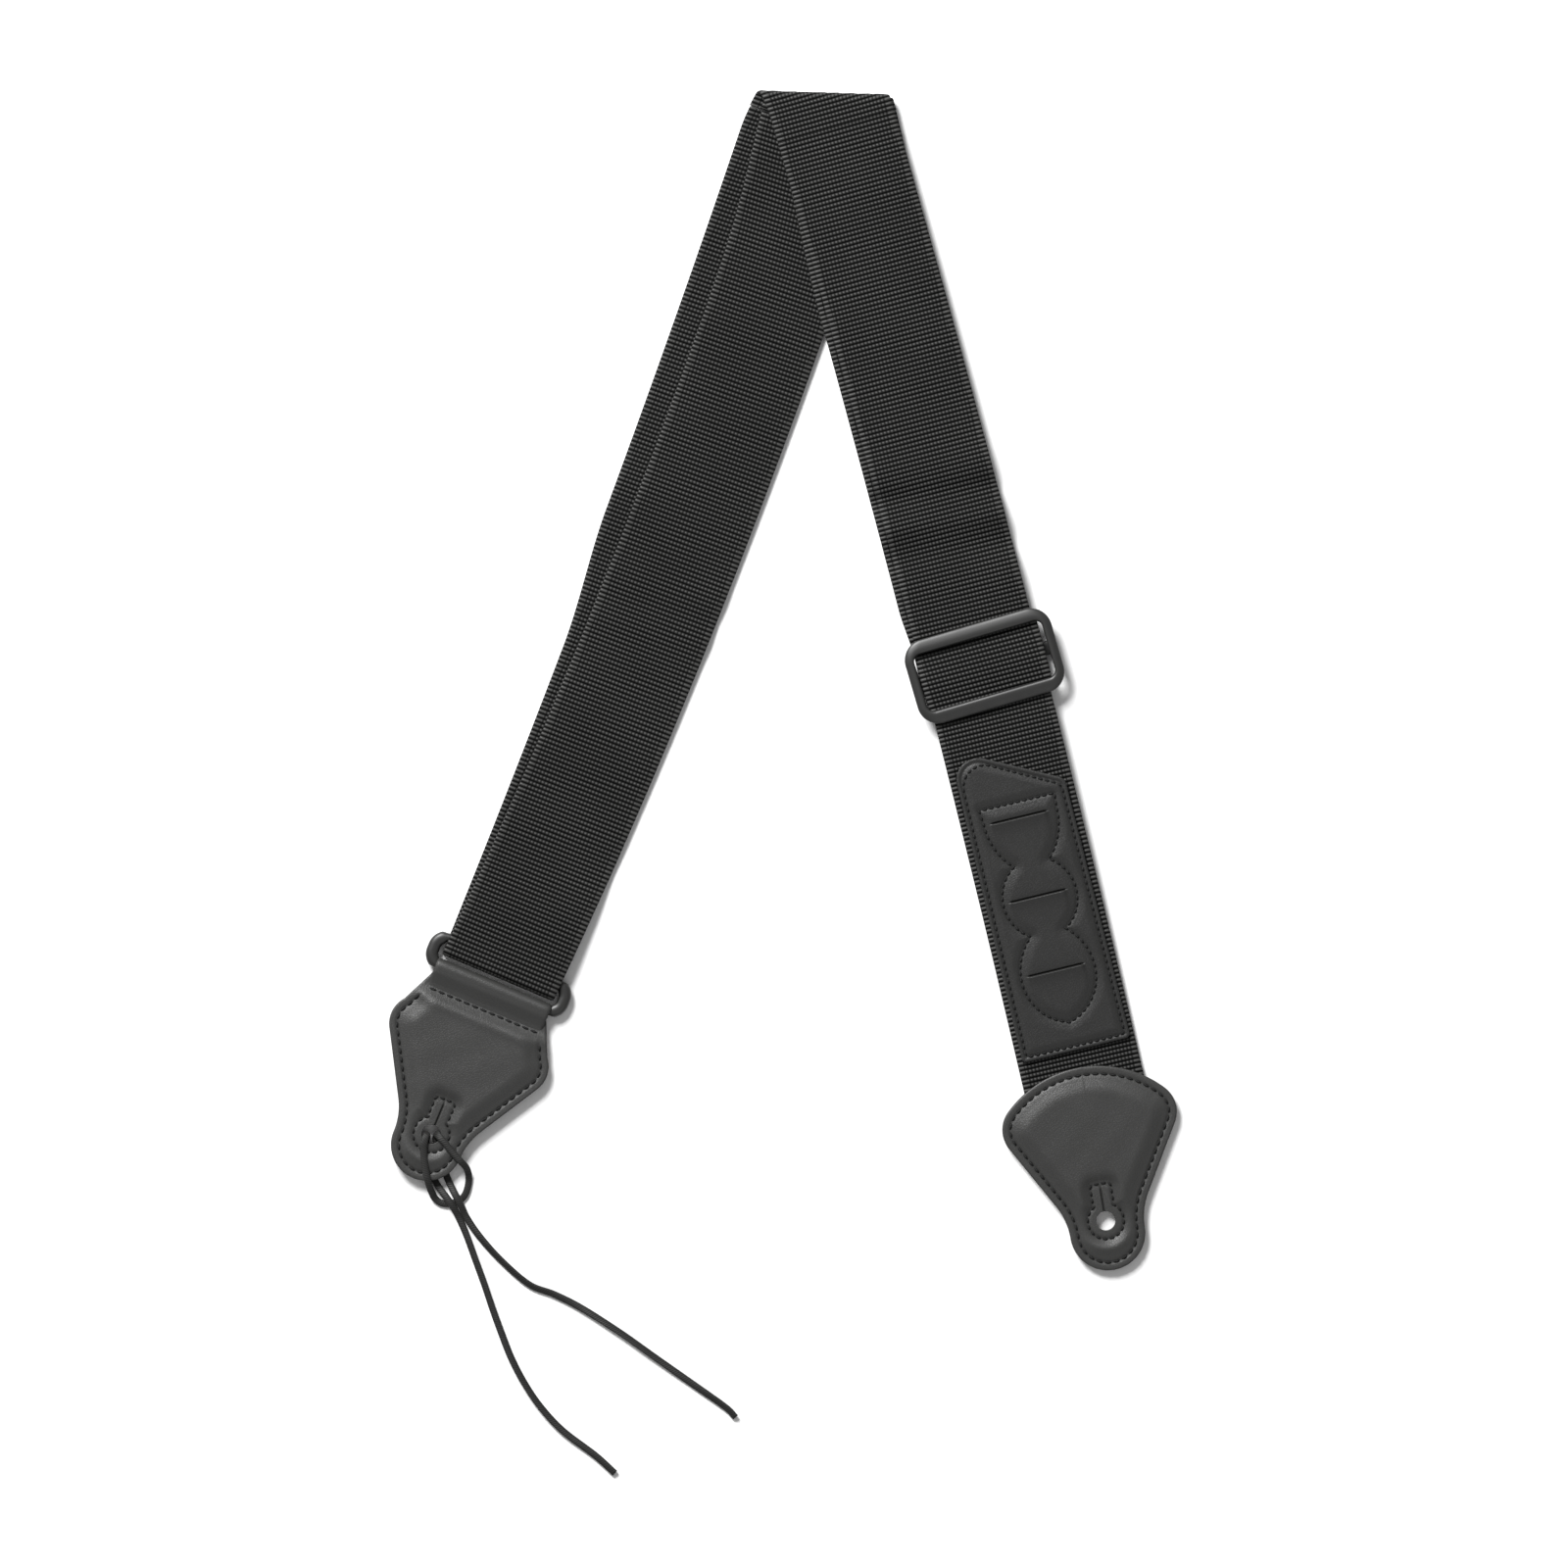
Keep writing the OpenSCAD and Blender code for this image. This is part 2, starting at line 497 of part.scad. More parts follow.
// Direction of a route at point i, and the flat side: carried along, and level where the route is level
function along(p, i) = unit(p[min(i + 1, len(p) - 1)] - p[max(i - 1, 0)]);
function flatten(v, t) = unit(v - (v * t) * t);
function level(f, t) = let (h = cross([0, 0, 1], t)) flatten(f + (f * h < 0 ? -4 : 4) * h, t);
function flats(p, first) = [for (i = 0, f = level(first, along(p, 0)); i < len(p); i = i + 1,
    f = level(f, along(p, min(i, len(p) - 1)))) f];
module lace(route, first) {
    n = len(route);
    p = [for (q = route) q + [tie_hole.x, tie_hole.y, 0]];
    f = flats(p, first);
    pts = [for (i = [0:n - 1]) for (k = [0:lace_sides - 1])
        let (a = (k + 0.5) * 360 / lace_sides, t = along(p, i))
            p[i] + lace_w / 2 * cos(a) * f[i] + lace_t / 2 * sin(a) * cross(t, f[i])];
    walls = [for (i = [0:n - 2]) for (k = [0:lace_sides - 1])
        let (a = i * lace_sides + k, b = i * lace_sides + (k + 1) % lace_sides)
            for (t = [[a, b, a + lace_sides], [b, b + lace_sides, a + lace_sides]]) t];
    caps = [[for (k = [lace_sides - 1:-1:0]) k], [for (k = [0:lace_sides - 1]) (n - 1) * lace_sides + k]];
    color("#1f1f1e") polyhedron(pts, concat(walls, caps));
}
module lace_short_half() lace(short_route, [0, 1, 0]);
module lace_long_half() lace(long_route, [0, 1, 0]);

webbing_back_running();
webbing_back_inner();
webbing_fold_outer();
webbing_fold_inner();
webbing_front_running();
webbing_front_inner();
pick_holder_patch();
pick_holder_edge_stitching();
pick_pocket_stitching();
tri_glide_slider();
webbing_slider_loop();
slider_loop_stitching();
webbing_ring_loop();
ring();
button_end_front();
button_end_back();
button_end_padding();
webbing_button_tail();
button_end_edge_stitching();
button_end_hole_stitching();
tie_end_front();
tie_end_back();
tie_end_padding();
tie_end_edge_stitching();
tie_end_hole_stitching();
tie_end_loop_stitching();
lace_short_half();
lace_long_half();
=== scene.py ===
"""Guitar strap laid flat: ribbed webbing, leather ends, slider, ring, pick holder and lace.

Plan measures are in millimetres and become metres when a mesh is made.
"""
import json
import math

import bmesh
import bpy
import numpy as np
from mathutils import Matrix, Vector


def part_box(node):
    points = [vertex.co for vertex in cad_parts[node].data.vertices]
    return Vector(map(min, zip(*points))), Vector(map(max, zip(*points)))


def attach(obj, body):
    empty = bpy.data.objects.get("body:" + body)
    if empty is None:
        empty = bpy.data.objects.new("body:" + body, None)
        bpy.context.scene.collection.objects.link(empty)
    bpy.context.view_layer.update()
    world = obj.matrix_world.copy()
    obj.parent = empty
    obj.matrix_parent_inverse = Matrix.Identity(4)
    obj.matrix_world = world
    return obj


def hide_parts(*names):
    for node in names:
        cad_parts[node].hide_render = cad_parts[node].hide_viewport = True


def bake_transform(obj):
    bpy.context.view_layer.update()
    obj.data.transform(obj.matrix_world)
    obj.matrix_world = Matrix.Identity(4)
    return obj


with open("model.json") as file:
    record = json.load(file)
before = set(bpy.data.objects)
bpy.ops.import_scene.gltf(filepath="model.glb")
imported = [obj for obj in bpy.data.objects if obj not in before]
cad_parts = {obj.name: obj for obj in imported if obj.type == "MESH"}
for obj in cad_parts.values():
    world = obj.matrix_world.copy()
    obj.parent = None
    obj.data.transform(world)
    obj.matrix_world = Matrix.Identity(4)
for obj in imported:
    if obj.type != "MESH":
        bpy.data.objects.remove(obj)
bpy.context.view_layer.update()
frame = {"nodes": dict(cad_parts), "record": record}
MM = 0.001

# ---------------------------------------------------------------- places from the frame
JOINTS = {j["name"]: j for j in frame["record"]["behaviour"]["joints"]}


def pivot(name):
    """A hinge's plan point in millimetres."""
    return np.array(JOINTS[name]["pos_m"][:2]) / MM


def lean_of(name):
    """Lean to the right, in degrees, of the run that a hinge crosses: its axis points to the left."""
    axis = JOINTS[name]["axis"]
    return math.degrees(math.atan2(axis[1], -axis[0]))


def up(lean):
    """Unit vector along a direction that leans to the right by so many degrees."""
    a = np.radians(lean)
    return np.stack([np.sin(a), np.cos(a)], -1)


def across(lean):
    """Unit vector to the right of that direction."""
    a = np.radians(lean)
    return np.stack([np.cos(a), -np.sin(a)], -1)


WEB_HALF = 25.0
WEB_T = 1.3
FOLD_Z = 3.2
OUTER_R = 2.55
INNER_R = 1.15
TOP_MID = FOLD_Z + OUTER_R
UNDER_MID = FOLD_Z + INNER_R
LOW_MID = FOLD_Z - OUTER_R
INNER_MID = FOLD_Z - INNER_R
FOLD_LEAN = lean_of("fold_opening")
RING_LEAN = lean_of("ring_swing")
TIE_LEAN = lean_of("tie_end_swing")
BUTTON_LEAN = lean_of("button_end_flex")
FOLD = pivot("fold_opening")
RING_BAR = pivot("ring_swing")
TIE_BAR = pivot("tie_end_swing")
BAR_Z = JOINTS["ring_swing"]["pos_m"][2] / MM
TIE_REACH = 65.8
TIE_HOLE = TIE_BAR - TIE_REACH * up(TIE_LEAN)
# A run is its top, its lean, its sideways bow and its length
FRONT_LEAN, FRONT_BOW, FRONT_LEN = -14.6, 2.7, 414.5
FRONT = (FOLD, FRONT_LEAN, FRONT_BOW, FRONT_LEN)
BACK_LEAN, BACK_BOW, BACK_LEN = 20.25, 3.0, 380.5
BACK = (RING_BAR + BACK_LEN * up(BACK_LEAN), BACK_LEAN, BACK_BOW, BACK_LEN)
SLIDER_S = 243.5
SLIDER_LEAN = -16.3
SLIDER_MID = np.array(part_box("tri_glide_slider"))[:, :2].mean(0) / MM
FLAT_END = 274.5
LOW_END_Z = 1.85


def smooth(t):
    """0 below 0, 1 above 1, and 3t^2 - 2t^3 between."""
    t = np.clip(t, 0, 1)
    return t * t * (3 - 2 * t)


def bell(x, centre, width):
    """A Gaussian bump of height 1."""
    return np.exp(-((x - centre) / width) ** 2)


# ---------------------------------------------------------------- camera first
camera = bpy.data.objects.new("camera", bpy.data.cameras.new("camera"))
bpy.context.scene.collection.objects.link(camera)
VIEW_WIDTH, LENS, SENSOR = 0.6504, 300.0, 36.0
camera.data.lens = LENS
camera.data.sensor_width = SENSOR
camera.location = (-0.1334, 0.1811, VIEW_WIDTH * LENS / SENSOR)
bpy.context.scene.camera = camera
bpy.context.scene.view_settings.view_transform = "Standard"


# ---------------------------------------------------------------- mesh makers
def mesh_of(name, points, faces, uv=None, closed=True):
    """An object from points in millimetres; uv is one pair per point, in millimetres of cloth."""
    mesh = bpy.data.meshes.new(name)
    mesh.from_pydata((np.asarray(points, float).reshape(-1, 3) * MM).tolist(), [], faces)
    if uv is not None:
        layer = mesh.uv_layers.new(name="weave")
        loops = np.empty(len(mesh.loops), np.int32)
        mesh.loops.foreach_get("vertex_index", loops)
        layer.data.foreach_set("uv", np.asarray(uv, np.float32).reshape(-1, 2)[loops].ravel())
    if closed:
        bm = bmesh.new()
        bm.from_mesh(mesh)
        bmesh.ops.recalc_face_normals(bm, faces=bm.faces)
        bm.to_mesh(mesh)
        bm.free()
    mesh.polygons.foreach_set("use_smooth", np.ones(len(mesh.polygons), bool))
    obj = bpy.data.objects.new(name, mesh)
    bpy.context.scene.collection.objects.link(obj)
    return obj


def grid_faces(rows, ring, wrap_rows=False, wrap_ring=True, start=0):
    """Quads over a grid of rows by ring, wrapped either way."""
    i, j = np.meshgrid(np.arange(rows if wrap_rows else rows - 1),
                       np.arange(ring if wrap_ring else ring - 1), indexing="ij")
    k, m = (i + 1) % rows, (j + 1) % ring
    quads = np.stack([i * ring + j, i * ring + m, k * ring + m, k * ring + j], -1)
    return (quads.reshape(-1, 4) + start).tolist()


def tube_faces(rows, ring, start=0):
    """A closed tube: its wall and two end caps."""
    caps = [list(range(start + ring - 1, start - 1, -1)),
            list(range(start + (rows - 1) * ring, start + rows * ring))]
    return grid_faces(rows, ring, start=start) + caps


def finish_piece(obj, material, body=None, blend=None, nodes=()):
    """Gives a piece its material and hides the nodes it stands for; with a blend its place is baked into its
    mesh, otherwise it is put under the body it follows.
    """
    obj.data.materials.append(material)
    if nodes:
        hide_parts(*nodes)
    if blend:
        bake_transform(obj)
    else:
        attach(obj, body)
    return obj


# ---------------------------------------------------------------- shader groups and materials
def new_group(name, inputs, outputs):
    """A shader group with float inputs and named outputs."""
    tree = bpy.data.node_groups.new(name, "ShaderNodeTree")
    for label, value in inputs:
        tree.interface.new_socket(label, in_out="INPUT", socket_type="NodeSocketFloat").default_value = value
    for label in outputs:
        tree.interface.new_socket(label, in_out="OUTPUT", socket_type="NodeSocketFloat")
    return tree, tree.nodes.new("NodeGroupInput"), tree.nodes.new("NodeGroupOutput")


def link(tree, source, target):
    """Joins two sockets, or sets the target to a number."""
    if isinstance(source, (int, float)):
        target.default_value = source
    else:
        tree.links.new(source, target)


def maths(tree, operation, a, b=0.0, c=0.0):
    """A maths node's output."""
    node = tree.nodes.new("ShaderNodeMath")
    node.operation = operation
    for socket, value in zip(node.inputs, (a, b, c)):
        link(tree, value, socket)
    return node.outputs[0]


def noise(tree, scale, detail=3.0, vector=None):
    """A noise texture's value on Object coordinates or on the given vector."""
    node = tree.nodes.new("ShaderNodeTexNoise")
    node.inputs["Detail"].default_value = detail
    link(tree, scale, node.inputs["Scale"])
    if vector is None:
        vector = tree.nodes.new("ShaderNodeTexCoord").outputs["Object"]
    tree.links.new(vector, node.inputs["Vector"])
    return node.outputs["Fac"]


def mottle_group():
    """Slow, cloudy variation and a fine dust, for the colour and roughness of every finish."""
    tree, source, sink = new_group("mottle", [("Size", 40.0), ("Fine", 900.0)], ["Cloud", "Dust"])
    cloud = noise(tree, source.outputs["Size"], 4.0)
    fine = noise(tree, source.outputs["Fine"], 2.0)
    dust = maths(tree, "SMOOTH_MIN", maths(tree, "MULTIPLY", fine, cloud), 0.6, 0.2)
    tree.links.new(cloud, sink.inputs["Cloud"])
    tree.links.new(dust, sink.inputs["Dust"])
    return tree


def grain_group():
    """Leather grain: pebbles are the distance to the nearest cell edge, with pores from fine noise."""
    tree, source, sink = new_group("hide_grain", [("Pebbles", 900.0), ("Pores", 2600.0)],
                                   ["Height", "Crease"])
    coords = tree.nodes.new("ShaderNodeTexCoord").outputs["Object"]
    warp = tree.nodes.new("ShaderNodeVectorMath")
    warp.operation = "MULTIPLY_ADD"
    swirl = tree.nodes.new("ShaderNodeTexNoise")
    swirl.inputs["Scale"].default_value = 260.0
    tree.links.new(coords, swirl.inputs["Vector"])
    tree.links.new(swirl.outputs["Color"], warp.inputs[0])
    warp.inputs[1].default_value = (0.0009, 0.0009, 0.0009)
    tree.links.new(coords, warp.inputs[2])
    cells = tree.nodes.new("ShaderNodeTexVoronoi")
    cells.feature = "DISTANCE_TO_EDGE"
    tree.links.new(source.outputs["Pebbles"], cells.inputs["Scale"])
    tree.links.new(warp.outputs[0], cells.inputs["Vector"])
    crease = maths(tree, "MINIMUM", maths(tree, "MULTIPLY", cells.outputs["Distance"], 6.0), 1.0)
    pores = noise(tree, source.outputs["Pores"], 2.0)
    tree.links.new(maths(tree, "MULTIPLY_ADD", pores, 0.35, crease), sink.inputs["Height"])
    tree.links.new(crease, sink.inputs["Crease"])
    return tree


MOTTLE = mottle_group()
GRAIN = grain_group()


def group_node(tree, group, **values):
    """Places a shader group with its own values."""
    node = tree.nodes.new("ShaderNodeGroup")
    node.node_tree = group
    for label, value in values.items():
        node.inputs[label].default_value = value
    return node


def mix_colour(tree, factor, dark, light):
    """A colour between two, by a factor."""
    node = tree.nodes.new("ShaderNodeMix")
    node.data_type = "RGBA"
    link(tree, factor, node.inputs[0])
    for socket, value in ((node.inputs[6], dark), (node.inputs[7], light)):
        if isinstance(value, tuple):
            socket.default_value = (*value, 1.0)
        else:
            tree.links.new(value, socket)
    return node.outputs[2]


def spread_of(tree, value, low, high):
    """Maps a value from 0..1 to low..high."""
    return maths(tree, "MULTIPLY_ADD", value, high - low, low)


def bump(tree, height, distance, strength=1.0, normal=None):
    """A bump of a height, in metres of relief at height 1."""
    node = tree.nodes.new("ShaderNodeBump")
    node.inputs["Strength"].default_value = strength
    node.inputs["Distance"].default_value = distance
    tree.links.new(height, node.inputs["Height"])
    if normal is not None:
        tree.links.new(normal, node.inputs["Normal"])
    return node.outputs[0]


def new_material(name, **plain):
    """A material with a Principled shader and plain values set on its own sockets."""
    made = bpy.data.materials.new(name)
    made.use_nodes = True
    shader = made.node_tree.nodes["Principled BSDF"]
    for label, value in plain.items():
        shader.inputs[label.replace("_", " ")].default_value = value
    return made, made.node_tree, shader


def webbing_material():
    """Woven webbing on its own lengths: ribs across it and beads along each rib, in nearly straight
    columns that stop short of the edge, where each rib ends smooth."""
    made, tree, shader = new_material("ribbed_webbing", Sheen_Weight=0.02)
    uv = tree.nodes.new("ShaderNodeUVMap")
    uv.uv_map = "weave"
    split = tree.nodes.new("ShaderNodeSeparateXYZ")
    tree.links.new(uv.outputs[0], split.inputs[0])
    along, side = split.outputs[0], split.outputs[1]
    rib = maths(tree, "ABSOLUTE", maths(tree, "SINE", maths(tree, "MULTIPLY", along, math.pi / RIB)))
    row = maths(tree, "FLOOR", maths(tree, "DIVIDE", along, RIB))
    stagger = maths(tree, "MULTIPLY_ADD", row, 0.07, maths(tree, "DIVIDE", side, BEAD))
    bead = maths(tree, "ABSOLUTE", maths(tree, "SINE", maths(tree, "MULTIPLY", stagger, math.pi)))
    selvage = maths(tree, "GREATER_THAN", maths(tree, "ABSOLUTE", side), BEAD_END)
    beads = spread_of(tree, maths(tree, "MAXIMUM", bead, selvage), 0.4, 1.0)
    height = maths(tree, "MULTIPLY", rib, beads)
    cloud = group_node(tree, MOTTLE, Size=30.0, Fine=2200.0)
    # Painted shade: the base colour runs from the crest colour down to near black in the rib and bead
    # valleys, with a cloudy mottle over it
    rib_valley_shade_and_mottle = maths(tree, "MULTIPLY", maths(tree, "POWER", height, 2.2),
                  spread_of(tree, cloud.outputs["Cloud"], 0.5, 1.3))
    tree.links.new(mix_colour(tree, rib_valley_shade_and_mottle, WEB_VALLEY_SHADE, WEB_LIGHT), shader.inputs["Base Color"])
    tree.links.new(spread_of(tree, height, 0.0, 0.38), shader.inputs["Specular IOR Level"])
    tree.links.new(spread_of(tree, height, 0.75, 0.5), shader.inputs["Roughness"])
    fine = bump(tree, cloud.outputs["Dust"], 0.00008, 0.6)
    tree.links.new(bump(tree, height, 0.0004, 1.0, fine), shader.inputs["Normal"])
    return made


def leather_material(name, dark, light, pebbles, rough, relief):
    """Dyed leather: pebbled grain, paler high spots and a cloudy dye."""
    made, tree, shader = new_material(name, Specular_IOR_Level=0.4, Coat_Weight=0.06, Coat_Roughness=0.45)
    grain = group_node(tree, GRAIN, Pebbles=pebbles, Pores=pebbles * 3)
    cloud = group_node(tree, MOTTLE, Size=45.0, Fine=1500.0)
    tone = maths(tree, "MULTIPLY", spread_of(tree, grain.outputs["Crease"], 0.8, 1.0),
                 spread_of(tree, cloud.outputs["Cloud"], 0.75, 1.2))
    tree.links.new(mix_colour(tree, tone, dark, light), shader.inputs["Base Color"])
    tree.links.new(spread_of(tree, cloud.outputs["Cloud"], rough + 0.12, rough - 0.1),
                   shader.inputs["Roughness"])
    tree.links.new(bump(tree, grain.outputs["Height"], relief, 0.7), shader.inputs["Normal"])
    return made


def plastic_material(name, dark, light):
    """Satin moulded plastic with a faint orange peel and rubbed patches."""
    made, tree, shader = new_material(name, Specular_IOR_Level=0.5)
    cloud = group_node(tree, MOTTLE, Size=120.0, Fine=3000.0)
    tree.links.new(mix_colour(tree, cloud.outputs["Cloud"], dark, light), shader.inputs["Base Color"])
    tree.links.new(spread_of(tree, cloud.outputs["Cloud"], 0.5, 0.32), shader.inputs["Roughness"])
    tree.links.new(bump(tree, cloud.outputs["Dust"], 0.00004, 0.6), shader.inputs["Normal"])
    return made


def thread_material(name, dark, light, twist, angle):
    """Twisted or braided yarn: slanting plies on the piece's own lengths."""
    made, tree, shader = new_material(name, Sheen_Weight=0.05, Specular_IOR_Level=0.25)
    uv = tree.nodes.new("ShaderNodeUVMap")
    uv.uv_map = "weave"
    split = tree.nodes.new("ShaderNodeSeparateXYZ")
    tree.links.new(uv.outputs[0], split.inputs[0])
    turns = maths(tree, "MULTIPLY", split.outputs[0], twist)
    phase = maths(tree, "MULTIPLY_ADD", split.outputs[1], angle, turns)
    ply = maths(tree, "ABSOLUTE", maths(tree, "SINE", phase))
    cloud = group_node(tree, MOTTLE, Size=300.0, Fine=4000.0)
    tone = maths(tree, "MULTIPLY", ply, spread_of(tree, cloud.outputs["Cloud"], 0.5, 1.3))
    tree.links.new(mix_colour(tree, tone, dark, light), shader.inputs["Base Color"])
    tree.links.new(spread_of(tree, cloud.outputs["Cloud"], 0.62, 0.42), shader.inputs["Roughness"])
    tree.links.new(bump(tree, ply, 0.00012, 0.7), shader.inputs["Normal"])
    return made


RIB, BEAD, BEAD_END, RIB_HALF = 1.9, 1.5, 22.7, 24.6
# The first webbing colour is a near-black painted shade for the rib valleys; the second is the colour at the
# rib crests
WEB_VALLEY_SHADE, WEB_LIGHT = (0.0005, 0.0005, 0.0005), (0.043, 0.043, 0.041)
WEBBING = webbing_material()
HIDE = leather_material("dyed_leather", (0.014, 0.014, 0.014), (0.03, 0.03, 0.029), 1100.0, 0.46, 0.00005)
PATCH_HIDE = leather_material("patch_leather", (0.003, 0.003, 0.003), (0.014, 0.014, 0.0135),
                              1100.0, 0.48, 0.00005)
SUEDE = leather_material("flesh_side", (0.035, 0.031, 0.027), (0.075, 0.068, 0.06), 2200.0, 0.85, 0.0002)
CORE = leather_material("felt_core", (0.03, 0.028, 0.025), (0.07, 0.065, 0.06), 3000.0, 0.9, 0.0002)
SLIDER = plastic_material("slider_moulding", (0.012, 0.012, 0.012), (0.022, 0.022, 0.021))
RING = plastic_material("ring_moulding", (0.01, 0.01, 0.01), (0.02, 0.02, 0.019))
THREAD = thread_material("waxed_thread", (0.001, 0.001, 0.001), (0.007, 0.007, 0.007), 7.0, 4.0)
LACE = thread_material("flat_lace", (0.002, 0.002, 0.002), (0.02, 0.02, 0.019), 3.2, 3.2)

# ---------------------------------------------------------------- lace
# Points from the tie hole, in millimetres: x, y and height
SHORT_ROUTE = [
    (10.8, -27.8, 0.7), (9.4, -28.5, 0.7), (6.8, -29, 0.7), (3.8, -28.5, 0.7), (1.4, -26.6, 1.2),
    (0.1, -24, 2.8), (-0.8, -21.4, 5), (-1.5, -19, 6), (-2.2, -15.5, 6.1), (-2.8, -10.9, 6.1),
    (-3.1, -6.5, 6.1), (-2.8, -3.4, 6.1), (-2.3, -1, 5.6), (-1.9, 0.3, 4.4), (-1.8, 0.6, 3.2),
    (-1.9, 0.2, 1.6), (-2, -1.3, 0.8), (-2.3, -3.4, 0.7), (-2.4, -7, 0.7), (-1.6, -12.5, 0.7),
    (0.6, -18, 0.7), (3.3, -22.4, 1.1), (6.2, -26.2, 2.1), (8.2, -29, 2.2), (9.8, -31.6, 1.7),
    (11.5, -35, 0.8), (14.3, -41.4, 0.7), (18.2, -52.1, 0.7), (21.9, -62.3, 0.7), (25.3, -72.4, 0.7),
    (29, -82.6, 0.7), (33, -92.7, 0.7), (38.3, -102.9, 0.7), (45.2, -113.1, 0.7), (54.6, -123.2, 0.7),
    (68, -133.4, 0.7), (76.1, -140.7, 0.7)]
LONG_ROUTE = [
    (10.8, -27.8, 0.7), (12.2, -27.1, 0.7), (13.9, -25.2, 0.7), (15, -22.2, 0.7), (15.5, -19, 0.8),
    (15.3, -16.2, 1.9), (14.4, -13.7, 4.3), (12.7, -11.7, 5.9), (10.9, -9.8, 6.1), (8.1, -6.5, 6.1),
    (5.6, -3.4, 6.1), (3.6, -1.3, 5.8), (2.3, 0, 4.6), (1.9, 0.3, 3.2), (1.7, 0, 1.6), (1.7, -1.4, 0.8),
    (2, -3.6, 0.7), (2.9, -8, 0.7), (4.4, -12.5, 0.7), (6, -16.8, 0.7), (7.8, -21, 1), (9.6, -24.5, 2),
    (11.2, -27.6, 2.2), (12.7, -30.6, 1.7), (14.4, -34.4, 0.8), (19.6, -42, 0.7), (28.6, -52.1, 0.7),
    (40.4, -62.3, 0.7), (50.9, -66.5, 0.7), (62.5, -72.4, 0.7), (78.6, -82.6, 0.7), (92.8, -92.7, 0.7),
    (107.2, -102.9, 0.7), (121.7, -113.1, 0.7), (126.1, -117.5, 0.7)]
LACE_W, LACE_T = 2.9, 1.25


def curve_through(points, step):
    """A Catmull-Rom curve through the points: on each span, the cubic whose slopes are half the
    chord between the neighbours, sampled about every step."""
    p = np.asarray(points, float)
    ends = np.vstack([2 * p[0] - p[1], p, 2 * p[-1] - p[-2]])
    spans = []
    for a, b, c, d in zip(ends[:-3], ends[1:-2], ends[2:-1], ends[3:]):
        t = np.arange(0, 1, step / max(np.linalg.norm(c - b), step))[:, None]
        spans.append(0.5 * (2 * b + (c - a) * t + (2 * a - 5 * b + 4 * c - d) * t ** 2
                            + (3 * b - a - 3 * c + d) * t ** 3))
    return np.vstack([*spans, p[-1:]])


def at_even_steps(path, step):
    """A path's points again, at equal distances along it."""
    d = np.concatenate([[0], np.cumsum(np.linalg.norm(np.diff(path, axis=0), axis=1))])
    at = np.linspace(0, d[-1], int(d[-1] / step) + 1)
    return np.stack([np.interp(at, d, path[:, k]) for k in range(3)], -1)


def carried_sides(path, first):
    """The flat side of a cord: at each point the last side, less its part along the path, eased
    towards level wherever the path isn't steep."""
    tangent = np.gradient(path, axis=0)
    tangent /= np.linalg.norm(tangent, axis=1)[:, None]
    side, sides = np.array(first, float), []
    for t in tangent:
        side = side - (side @ t) * t
        side /= np.linalg.norm(side)
        level = np.array([-t[1], t[0], 0.0])
        side = side + level * math.copysign(0.5, level @ side)
        side /= np.linalg.norm(side)
        sides.append(side)
    return tangent, np.array(sides)


def lace_half(name, route, roll, node):
    """A flat cord: a superellipse 2.9 by 1.25 mm, rolled a little about its path where it lies free."""
    path = at_even_steps(curve_through(np.array(route) + [TIE_HOLE[0], TIE_HOLE[1], 0], 0.2), 0.8)
    tangent, side = carried_sides(path, (0, 1, 0))
    normal = np.cross(tangent, side)
    length = np.concatenate([[0], np.cumsum(np.linalg.norm(np.diff(path, axis=0), axis=1))])
    free = smooth((length - 75) / 20)
    turn = roll * free * np.sin((length - 75) / 19.0)
    ring = np.linspace(0, 2 * np.pi, 14, endpoint=False)
    shape_x = np.sign(np.cos(ring)) * np.abs(np.cos(ring)) ** 0.8 * LACE_W / 2
    shape_y = np.sign(np.sin(ring)) * np.abs(np.sin(ring)) ** 0.6 * LACE_T / 2
    flat = side * np.cos(turn)[:, None] + normal * np.sin(turn)[:, None]
    tall = normal * np.cos(turn)[:, None] - side * np.sin(turn)[:, None]
    lift = np.abs(np.sin(turn)) * (LACE_W - LACE_T) / 2
    raised = path + np.stack([0 * lift, 0 * lift, lift], -1)
    points = raised[:, None] + flat[:, None] * shape_x[None, :, None] + tall[:, None] * shape_y[None, :, None]
    uv = np.stack(np.broadcast_arrays(length[:, None], ring[None, :] * 0.8), -1)
    obj = mesh_of(name, points, tube_faces(len(path), len(ring)), uv)
    finish_piece(obj, LACE, body="tie_end", nodes=[node])
    return obj


lace_half("lace_short", SHORT_ROUTE, 0.35, "lace_short_half")
lace_half("lace_long", LONG_ROUTE, 0.5, "lace_long_half")


# ---------------------------------------------------------------- webbing
def run_point(run, s, offset, lean=None):
    """Plan point at s along a run and offset to its right: a chord with a parabolic bow, offset
    square to the local direction."""
    top, chord, bow, length = run
    s = np.asarray(s, float)
    t = s / length
    slope = np.degrees(np.arctan(4 * bow / length * (1 - 2 * t)))
    local = chord - slope if lean is None else lean
    centre = top - s[..., None] * up(chord) + (4 * bow * t * (1 - t))[..., None] * across(chord)
    return centre + offset[..., None] * across(local)


def run_lean(run, s):
    """Local lean of a run at s."""
    return run[1] - np.degrees(np.arctan(4 * run[2] / run[3] * (1 - 2 * s / run[3])))


SIDE_V = np.array([-25, -24.7, -23.9, -22.7, -20, -17, -11, -5, 0, 5, 11, 17, 20, 22.7, 23.9, 24.7, 25])
RIB_RELIEF = 0.22
RIB_STEP = 0.38


